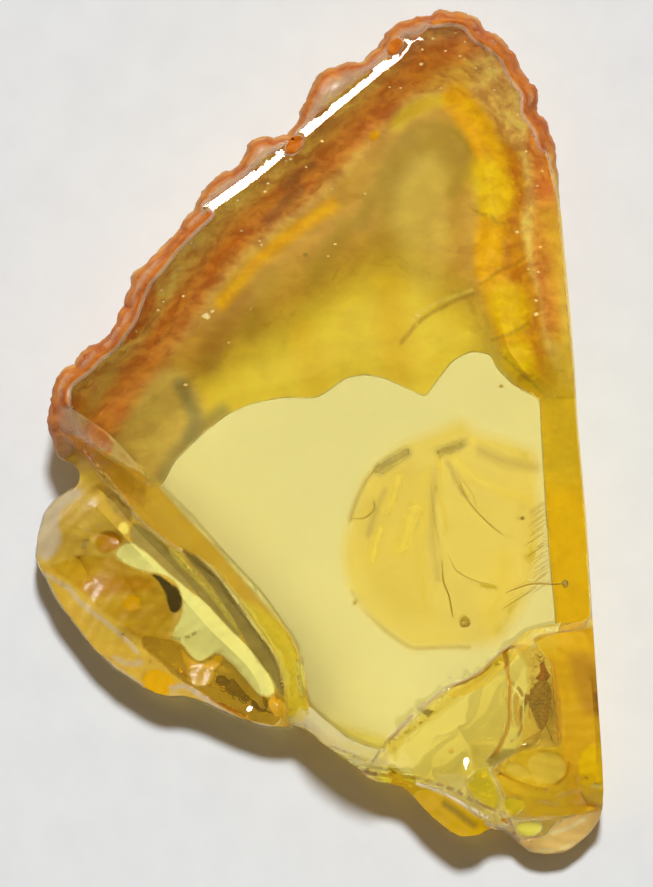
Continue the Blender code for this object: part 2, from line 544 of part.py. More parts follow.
def main():
    """Builds the amber in two halves, and the two insects in their pockets."""
    for old in list(bpy.data.objects):
        bpy.data.objects.remove(old)
    clear = material("amber_clear", (0.85, 0.62, 0.10), 0.05, 0.35, 1.0)
    dark = material("insect_brown", (0.10, 0.05, 0.025), 0.45)
    olive = material("insect_olive", (0.16, 0.12, 0.05), 0.4)

    verts, faces, (centre_x, centre_y) = amber_mesh()

    def centred(place):
        return (place[0] - centre_x, place[1] - centre_y, PARTING_HEIGHT)

    main_place = centred(MAIN_INSECT_PLACE)
    small_place = centred(SMALL_INSECT_PLACE)
    insect("insect_main", MAIN_INSECT_LENGTH, MAIN_BODY, MAIN_LIMBS, True, main_place,
           math.radians(90), dark)
    insect("insect_small", SMALL_INSECT_LENGTH, SMALL_BODY, SMALL_LIMBS, False, small_place,
           math.radians(180 + SMALL_INSECT_TURN), olive)

    pockets = bpy.data.collections.new("pockets")
    bpy.context.scene.collection.children.link(pockets)
    main_pocket = ball_mesh("pocket_main", MAIN_POCKET, main_place, math.radians(90))
    small_pocket = ball_mesh("pocket_small", SMALL_POCKET, small_place, math.radians(SMALL_INSECT_TURN))
    for mesh in (main_pocket, small_pocket):
        cutter = bpy.data.objects.new(mesh.name, mesh)
        pockets.objects.link(cutter)
        cutter.hide_render = True
        cutter.display_type = "WIRE"

    wide = 20.0
    half_gap = PARTING_GAP / 2
    below = helper("space_below", box_mesh("space_below", (-wide, -wide, -1.0),
                                           (wide, wide, PARTING_HEIGHT - half_gap)))
    above = helper("space_above", box_mesh("space_above",
                                           (-wide, -wide, PARTING_HEIGHT + half_gap),
                                           (wide, wide, THICKNESS + 1.0)))
    for name, space in (("amber_lower", below), ("amber_upper", above)):
        half = new_object(name, closed_mesh(name, verts, faces), clear)
        boolean(half, space, "INTERSECT")
        boolean_group(half, pockets, "DIFFERENCE")


if __name__ == "__main__":
    main()
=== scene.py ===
"""Looks of a slice of amber with two small insects sealed in it.

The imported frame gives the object's box, its nodes and its one body. The two clear halves of the
frame are replaced by one clear, closed piece of amber with its rind, breaks and hollows, and each
plain insect by a finished one. Drawn places are in millimetres, +X towards the sawn side, +Y
towards the rind end, +Z up out of the polished top.
"""

import logging
import math
from dataclasses import dataclass, field
from enum import Enum

import bmesh
import bpy
import numpy as np
from mathutils import Matrix, Vector, kdtree, noise
from mathutils.geometry import delaunay_2d_cdt


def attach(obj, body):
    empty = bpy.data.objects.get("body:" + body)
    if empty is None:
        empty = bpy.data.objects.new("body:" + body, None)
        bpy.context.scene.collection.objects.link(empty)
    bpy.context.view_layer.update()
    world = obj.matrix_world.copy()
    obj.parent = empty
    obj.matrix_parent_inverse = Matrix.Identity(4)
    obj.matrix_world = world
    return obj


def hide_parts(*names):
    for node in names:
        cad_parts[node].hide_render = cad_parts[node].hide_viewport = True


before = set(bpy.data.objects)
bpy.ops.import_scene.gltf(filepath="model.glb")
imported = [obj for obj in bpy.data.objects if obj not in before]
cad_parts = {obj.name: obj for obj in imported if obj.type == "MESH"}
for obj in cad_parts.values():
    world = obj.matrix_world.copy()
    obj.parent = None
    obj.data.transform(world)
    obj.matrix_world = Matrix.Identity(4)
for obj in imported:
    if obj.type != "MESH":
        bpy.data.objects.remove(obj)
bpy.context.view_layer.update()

MM = 0.001
LOG = logging.getLogger("amber")
NOISE_SEED = 7  # fixed, so that every run gives the same lumps, hairs and glint flakes

Point = tuple[float, float]
Spot = tuple[float, float, float]
Rows = tuple[tuple[float, float, float, float], ...]


def linear(hex_colour: str) -> tuple[float, float, float, float]:
    """Turn an sRGB hex colour into the linear colour that Blender's sockets take.

    Args:
        hex_colour: six hex digits, with or without a leading #.

    Returns:
        Linear red, green, blue and an alpha of 1.
    """
    digits = hex_colour.lstrip("#")
    shares = [int(digits[i:i + 2], 16) / 255 for i in (0, 2, 4)]
    return (*[c / 12.92 if c <= 0.04045 else ((c + 0.055) / 1.055) ** 2.4 for c in shares], 1.0)


def add_node(tree: bpy.types.NodeTree, kind: str, settings: dict | None = None,
             links: dict | None = None) -> bpy.types.Node:
    """Add a node with its settings and its links.

    Args:
        tree: the node tree.
        kind: the node's type, such as ShaderNodeTexNoise.
        settings: names of the node's properties, or of its input sockets, and their values.
        links: names or numbers of input sockets, and the output socket that each is fed by.

    Returns:
        The new node.
    """
    node = tree.nodes.new(kind)
    for name, value in (settings or {}).items():
        if isinstance(name, str) and hasattr(node, name) and name not in node.inputs:
            setattr(node, name, value)
        else:
            node.inputs[name].default_value = value
    for name, source in (links or {}).items():
        tree.links.new(source, node.inputs[name])
    return node


# ---- the drawn form of the slice ----------------------------------------------------------------


# Some skins below are painted light or shade rather than anything on the stone; each is marked
# where it is defined.
class Skin(Enum):
    """What covers the stone in a place: sRGB colour, cover, roughness, and how mottled it is.

    A cover of 0 is clear polished resin and 1 is an opaque weathered skin.
    """

    POLISHED = ("#FFFBE6", 0.0, 0.02, 0.0)
    WINDOW = ("#E2DFB8", 0.0, 0.02, 0.0)
    BROKEN = ("#FFF6CC", 0.0, 0.03, 0.05)
    RIND = ("#FFEAA6", 0.95, 0.5, 1.0)
    RED_RIND = ("#F8A050", 0.95, 0.5, 1.0)
    DARK_RIND = ("#C08A6C", 0.95, 0.5, 0.8)
    GOLD_RIND = ("#FFDE80", 0.95, 0.5, 0.9)
    SHOULDER = ("#E4BC58", 0.85, 0.4, 0.4)
    CLOUD = ("#FFEE62", 0.94, 0.35, 0.12)
    DARK_CLOUD = ("#C3A948", 0.94, 0.35, 0.16)
    BROWN_CLOUD = ("#C09448", 0.94, 0.35, 0.3)
    PALE_CLOUD = ("#FFF088", 0.92, 0.35, 0.1)
    GOLD_CLOUD = ("#F4D343", 0.94, 0.35, 0.12)
    LEFT_CLOUD = ("#ECD987", 0.92, 0.4, 0.3)
    GREY = ("#A8A27C", 0.85, 0.4, 0.15)
    # painted light: where light gathers under the sloping underside, down the right
    YELLOW = ("#FFEC00", 1.0, 0.3, 0.45)
    ARCH_YELLOW = ("#F9E753", 0.9, 0.3, 0.2)
    YELLOW_ORANGE = ("#FFD000", 1.0, 0.35, 0.5)
    ORANGE = ("#E3A106", 1.0, 0.4, 0.8)
    ORANGE_BRIGHT = ("#FFD00F", 0.9, 0.25, 0.15)
    STRIP_TOP = ("#EFD639", 1.0, 0.3, 0.15)
    GOLD = ("#FFD81C", 1.0, 0.25, 0.1)
    BROWN = ("#8C5A14", 0.85, 0.4, 0.2)
    OLIVE = ("#A89848", 0.6, 0.4, 0.0)
    LOBE = ("#D8A830", 0.85, 0.4, 0.5)
    FAN = ("#EBD858", 0.12, 0.1, 0.0)
    FAN_GOLD = ("#EAD435", 0.2, 0.12, 0.0)
    FAN_BRIGHT = ("#FBE61C", 0.35, 0.15, 0.0)
    FAN_DARK = ("#CEB743", 0.4, 0.15, 0.0)
    HAZE = ("#FBCC28", 0.6, 0.12, 0.15)
    # painted caustic light in lens-shaped cracks
    LENS = ("#FBD649", 0.65, 0.15, 0.0)
    # painted light: the glow that shows through the steep wall of the tall break
    BAND = ("#FFC024", 0.3, 0.2, 0.1)
    LOBE_TOP = ("#E9C245", 0.7, 0.35, 0.3)
    CREST_GOLD = ("#FFE048", 0.25, 0.06, 0.0)
    VEIN = ("#D28D02", 0.9, 0.2, 0.0)
    VEIN_DEEP = ("#A2660A", 0.9, 0.2, 0.0)
    FROST = ("#C9B48E", 0.88, 0.45, 0.1)
    FROST_PALE = ("#FFF5B4", 0.85, 0.4, 0.05)
    EDGE_RIND = ("#DC7C10", 0.97, 0.55, 1.0)
    LOBE_GOLD = ("#D8AA22", 0.75, 0.3, 0.35)
    LOBE_ORANGE = ("#CC8F05", 0.78, 0.3, 0.35)
    LOBE_PALE = ("#D7C195", 0.85, 0.45, 0.15)
    LOBE_OLIVE = ("#C09F45", 0.78, 0.35, 0.2)
    LOBE_LOW = ("#F6C234", 0.15, 0.028, 0.0)
    # painted shadow in the two stripes of the ledge window; also a thin dark line along a thread
    STRIPE = ("#AC9648", 0.88, 0.3, 0.1)
    # painted shadow: the card's shadow seen through a clear facet of the ledge
    SHADOW_WEDGE = ("#54441A", 0.95, 0.3, 0.1)
    # on the lobe a painted glint; at the tip a small pale spot
    PALE_SPOT = ("#FDE768", 0.9, 0.2, 0.0)
    ORANGE_SPOT = ("#E5AA00", 0.85, 0.25, 0.1)
    AMBER_EDGE = ("#E9AF03", 0.88, 0.3, 0.1)
    # painted light: the glow at the foot of the tall break
    BAND_LOW = ("#FFE028", 0.12, 0.05, 0.0)
    # painted highlight: the thin bright line along the edge of the tall break
    BAND_EDGE_HIGHLIGHT = ("#FFE860", 0.3, 0.1, 0.0)
    HAZE_BROWN = ("#D8A52F", 0.65, 0.15, 0.1)
    CLEAR_YELLOW = ("#FFEE80", 0.08, 0.02, 0.0)
    CREST_LINE = ("#B47A08", 0.92, 0.3, 0.0)
    LENS_OLIVE = ("#9A7C24", 0.8, 0.2, 0.0)
    SPARK = ("#FFE828", 0.22, 0.04, 0.0)
    # painted light where it lies at the foot of the tall break; elsewhere bright yellow patches by
    # the lip and tip
    BRIGHT_YELLOW = ("#FFF060", 0.85, 0.12, 0.0)
    # painted highlight along the lip
    LIP_HIGHLIGHT = ("#F2DEC6", 0.9, 0.2, 0.0)
    GOLD_LOBE = ("#DBAE07", 0.85, 0.25, 0.1)
    # a rough skin whose pale colour is a painted reflection of the light on the rounded end
    ROUGH_TIP_SHEEN = ("#FFD87D", 0.85, 0.4, 0.15)
    LOBE_WINDOW = ("#FFF68C", 0.8, 0.05, 0.0)
    HAZE_CLEAR = ("#F6CE50", 0.22, 0.02, 0.0)
    GOLD_EDGE = ("#FFD024", 0.3, 0.12, 0.0)

    def values(self) -> tuple[float, ...]:
        """The skin as linear red, green and blue, cover, roughness and mottle."""
        colour, cover, rough, mottle = self.value
        return (*linear(colour)[:3], cover, rough, mottle)


@dataclass(frozen=True)
class Stretch:
    """A stretch of the outline, with the heights of its upper and lower edge."""

    name: str
    top: float
    low: float
    skin: Skin
    bump: float
    points: tuple[Point, ...]


@dataclass(frozen=True)
class Patch:
    """A place on one side with a skin of its own: an area, or a vein if it has a width."""

    skin: Skin
    points: tuple[Point, ...]
    width: float = 0.0
    soft: float = 0.12
    lift: float = 0.0
    strength: float = 1.0

    @property
    def closed(self) -> bool:
        """Whether it is an area, so that its line is closed."""
        return self.width == 0.0


@dataclass(frozen=True)
class Line:
    """A drawn line on one side of the slice, going evenly from one height to another."""

    points: tuple[Point, ...]
    start: float
    end: float | None = None
    skin: Skin = Skin.POLISHED


def trace(*numbers: int) -> tuple[Point, ...]:
    """Pair up the x and y of drawn points.

    Args:
        numbers: x and y in turn, in hundredths of a millimetre.

    Returns:
        The points (x, y) in mm.
    """
    return tuple((x / 100, y / 100) for x, y in zip(numbers[::2], numbers[1::2]))


# heights over the card, in mm
THICKNESS = 4.8
LEDGE = 2.45  # the face of the thin ledge
SHOULDER = 1.12  # the underside where the rind begins
HOLLOW = 0.1  # the underside where it starts to rise to the rind
FAN_DEPTH = 0.015  # how far the fan's ribs arch upwards
RIM_DROP = 0.09  # how far the outer edge of the rim lies under the polished top

# sizes of the rind's lumps, of the knobs on them, and of its grit, in mm
LUMP_SIZE, KNOB_SIZE, GRIT_SIZE = 0.95, 0.42, 0.2

OUTLINE = (
    Stretch("rind_top_right", 4.3, 2.7, Skin.EDGE_RIND, 1.0, trace(402, 1397, 455, 1400,
        505, 1387, 525, 1347, 592, 1307, 638, 1263, 655, 1207, 712, 1147, 698, 1087, 745, 1027,
        762, 967, 778, 907)),
    Stretch("sawn_side_over_rind", 4.76, 2.1, Skin.STRIP_TOP, 0.0, trace(788, 820, 802, 727,
        817, 560, 832, 397, 845, 230)),
    Stretch("sawn_side", 4.76, 1.0, Skin.GOLD, 0.0, trace(855, 53, 882, -247, 895, -440,
        908, -643)),
    Stretch("sawn_side_by_break", 3.7, 1.2, Skin.GOLD, 0.0, trace(922, -840, 938, -1057,
        945, -1170)),
    # the rounded tip's pale skin is a painted reflection of the light
    Stretch("rounded_tip", 1.4, 0.3, Skin.ROUGH_TIP_SHEEN, 0.3, trace(942, -1243, 925, -1290,
        882, -1340, 822, -1383, 762, -1393, 702, -1383, 648, -1333, 612, -1310)),
    Stretch("broken_lower_edge", 2.5, 0.3, Skin.GOLD_EDGE, 0.25, trace(572, -1303, 528, -1327,
        475, -1333, 432, -1310, 385, -1273, 342, -1230, 295, -1177, 265, -1160, 182, -1147,
        122, -1100, 62, -1057, 8, -1020, -35, -980)),
    Stretch("ledge", 2.3, 0.35, Skin.LOBE_TOP, 0.35, trace(-82, -960, -168, -967, -225, -950,
        -308, -917, -392, -880, -455, -860, -518, -863, -575, -840, -632, -803, -685, -767,
        -735, -720, -785, -663, -832, -600, -868, -553, -898, -497, -922, -453, -945, -397,
        -935, -327, -918, -257, -888, -217, -848, -187, -805, -167)),
    Stretch("notch", 2.3, 1.2, Skin.FROST, 0.1, trace(-795, -117, -825, -83, -868, -67)),
    Stretch("rind_left", 4.2, 2.6, Skin.EDGE_RIND, 1.0, trace(-878, -10, -885, 63, -875, 133,
        -865, 190, -842, 220, -802, 220, -785, 260, -755, 283, -708, 307, -692, 343, -658, 377,
        -638, 420, -615, 470, -598, 533, -575, 560, -545, 580, -522, 603, -475, 657, -425, 713,
        -398, 760, -368, 817, -315, 860, -252, 893, -232, 937, -212, 970, -175, 983, -142, 977,
        -92, 990, -58, 1040, -35, 1110, -8, 1167, 35, 1207, 95, 1227, 155, 1233, 195, 1277,
        235, 1327, 282, 1370, 352, 1387)),
)
TOP_FACE_EDGE = trace(375, 1375, 445, 1382, 495, 1366, 510, 1330, 575, 1292, 618, 1250, 638, 1198,
    688, 1138, 680, 1080, 724, 1020, 742, 960, 760, 900, 778, 813, 792, 720, 807, 553, 822, 390,
    837, 230, 848, 53, 875, -247, 888, -440, 898, -603, 790, -615, 685, -643, 612, -710,
    535, -787, 445, -823, 355, -900, 265, -973, 195, -1037, 108, -1003, 35, -950, -25, -897,
    -52, -837, -65, -743, -72, -697, -118, -620, -198, -513, -328, -373, -435, -250, -525, -163,
    -618, -67, -705, 17, -790, 75, -845, 110, -842, 170, -810, 200, -775, 220, -735, 268,
    -690, 295, -660, 340, -622, 390, -600, 455, -572, 520, -530, 562, -492, 615, -435, 675,
    -366, 738, -220, 842, -116, 928, -26, 1008, 67, 1086, 224, 1218, 257, 1238, 294, 1278,
    307, 1305, 375, 1370)
RIM_OUTER_EDGE = trace(-386, 762, -240, 866, -136, 952, -46, 1032, 47, 1110, 204, 1242, 237, 1262,
    274, 1302, 287, 1329)
RIM_INNER_EDGE = trace(-372, 745, -225, 849, -121, 935, -31, 1015, 62, 1093, 219, 1225, 252, 1245,
    289, 1285, 302, 1312)
BREAK_FOOT = trace(-758, -97, -678, -157, -592, -233, -502, -320, -398, -440, -268, -580,
    -192, -680, -148, -757, -122, -860, -102, -910)
LEDGE_GROOVE = trace(-732, -177, -692, -213, -608, -313, -455, -467, -328, -613, -210, -730,
    -162, -807, -145, -877)
LEDGE_FACE_EDGE = trace(-740, -235, -638, -347, -492, -497, -365, -643, -245, -757, -202, -823,
    -185, -897)
UPPER_LINES = (
    Line(TOP_FACE_EDGE, THICKNESS),
    Line(RIM_INNER_EDGE, THICKNESS - RIM_DROP * 0.25),
    Line(RIM_OUTER_EDGE, THICKNESS - RIM_DROP),
    Line(BREAK_FOOT, LEDGE + 0.35, LEDGE + 0.1, Skin.BROKEN),
    Line(LEDGE_GROOVE, LEDGE - 0.25, None, Skin.BROKEN),
    Line(LEDGE_FACE_EDGE, LEDGE),
    Line(trace(-875, -285, -765, -310, -675, -340), 2.3, 2.05, Skin.BROKEN),
    Line(trace(-855, -500, -732, -530, -598, -557, -492, -650), 1.95, 2.0, Skin.BROKEN),
    Line(trace(-492, -650, -412, -733, -328, -753, -230, -877), 2.0, 2.05, Skin.BROKEN),
    Line(trace(-692, -397, -625, -510, -598, -557), 2.1, 2.0, Skin.BROKEN),
    Line(trace(-805, -405, -775, -460), 1.6, 1.6, Skin.BROKEN),
    Line(trace(-660, -660, -560, -730, -470, -775), 1.6, 1.65, Skin.BROKEN),
    Line(trace(890, -645, 782, -650, 702, -688, 635, -748, 555, -825, 465, -865, 375, -942,
        292, -1015, 238, -1075), 4.4, 3.6, Skin.BROKEN),
    Line(trace(902, -810, 918, -1010, 920, -1150), 3.9, 3.1, Skin.BROKEN),
    Line(trace(625, -830, 618, -943, 595, -1027, 492, -1130, 402, -1110), 4.1, 3.2, Skin.BROKEN),
    Line(trace(602, -1123, 682, -1157, 752, -1170), 2.9, 2.9, Skin.BROKEN),
    Line(trace(682, -860, 675, -1020), 3.5, 3.3, Skin.BROKEN),
    Line(trace(455, -960, 505, -1040), 3.3, 3.1, Skin.BROKEN),
    Line(trace(245, -1110, 295, -1140, 372, -1170, 475, -1213, 572, -1260, 625, -1290), 2.6, 2.4,
        Skin.BROKEN),
    Line(trace(702, -1350, 762, -1310, 835, -1267, 905, -1230), 1.7, 1.9, Skin.BROKEN),
)
GROUND_LINE = trace(-635, -175, -528, -163, -482, -77, -398, 7, -308, 77, -225, 113, -118, 133,
    -12, 130, 32, 157, 85, 197, 152, 210, 218, 197, 282, 167, 355, 133, 385, 180, 445, 257,
    505, 287, 572, 277, 588, 233, 648, 173, 735, 130)
GROUND_EDGE = trace(735, 130, 748, -127, 768, -403, 788, -603, 805, -810, 822, -1010, 835, -1170,
    820, -1280, 760, -1335, 680, -1300, 620, -1255, 490, -1275, 420, -1230, 330, -1140,
    210, -1100, 50, -990, -55, -905, -175, -910, -320, -855, -460, -805, -560, -775, -680, -690,
    -790, -560, -860, -440, -865, -320, -790, -235, -720, -195, -635, -175)
HOLLOW_EDGE = trace(-620, -95, -505, -5, -420, 78, -320, 145, -225, 178, -115, 195, -25, 195,
    60, 252, 152, 278, 250, 258, 330, 220, 405, 305, 502, 352)
RIND_SHOULDER_LEFT = trace(402, 1107, 268, 1050, 135, 950, 2, 833, -98, 733, -215, 633, -298, 500,
    -382, 417, -448, 290, -565, 210, -665, 150, -732, 80)
RIND_SHOULDER_RIGHT = trace(402, 1107, 502, 1057, 552, 923, 575, 757, 575, 590, 595, 423,
    628, 290, 690, 210)
FURROW = trace(248, 907, 302, 980, 385, 1037, 462, 1003, 505, 943)
FAN_EDGE = trace(475, 63, 522, 17, 632, -13, 718, -57, 732, -277, 725, -460, 668, -583, 572, -673,
    512, -703, 392, -703, 332, -720, 292, -710, 242, -667, 155, -603, 82, -530, 72, -443,
    88, -317, 105, -257, 142, -173, 202, -97, 302, -20, 392, 17, 475, 63)
FAN_APEX = (4.75, 0.05)
FAN_RIBS = 9


def fan_lines() -> tuple[Line, ...]:
    """The edge of the shell-shaped hollow in the underside, and its ribs from the apex.

    Returns:
        The edge and one line for each rib.
    """
    lines = [Line(FAN_EDGE, 0.0, None, Skin.FAN)]
    apex = Vector(FAN_APEX)
    # the ribs end on the edge from its fourth point to its fourth last one
    for rib in range(FAN_RIBS):
        target = Vector(FAN_EDGE[3 + round(rib * (len(FAN_EDGE) - 7) / (FAN_RIBS - 1))])
        depth = FAN_DEPTH * (1.0 if rib % 2 else 0.45)
        for share, further in ((0.22, 0.45), (0.45, 0.68), (0.68, 0.86)):
            ends = [depth * math.sin(math.pi * s) + 0.02 for s in (share, further)]
            lines.append(Line((tuple(apex.lerp(target, share)), tuple(apex.lerp(target, further))),
                              ends[0], ends[1], Skin.FAN))
    return tuple(lines)


LOWER_LINES = (
    Line(GROUND_LINE, 0.0, None, Skin.CLOUD),
    Line(GROUND_EDGE, 0.0, None, Skin.LOBE),
    Line(HOLLOW_EDGE, HOLLOW, None, Skin.CLOUD),
    Line(RIND_SHOULDER_LEFT, SHOULDER, None, Skin.SHOULDER),
    Line(RIND_SHOULDER_RIGHT, SHOULDER, None, Skin.SHOULDER),
    Line(FURROW, SHOULDER + 0.1, None, Skin.DARK_CLOUD),
)
RIND_AREA = trace(-748, 140, -708, 230, -568, 250, -492, 283, -432, 357, -348, 457, -265, 563,
    -192, 647, -98, 723, 2, 800, 102, 897, 218, 1023, 302, 1097, 435, 1150, 528, 1113, 595, 1040,
    642, 957, 675, 840, 662, 690, 695, 523, 722, 357, 762, 250, 822, 163, 935, 157, 1002, 457,
    868, 1123, 602, 1457, 268, 1457, -465, 857, -865, 357, -898, 123)
WINDOW = GROUND_LINE + GROUND_EDGE[1:-1]
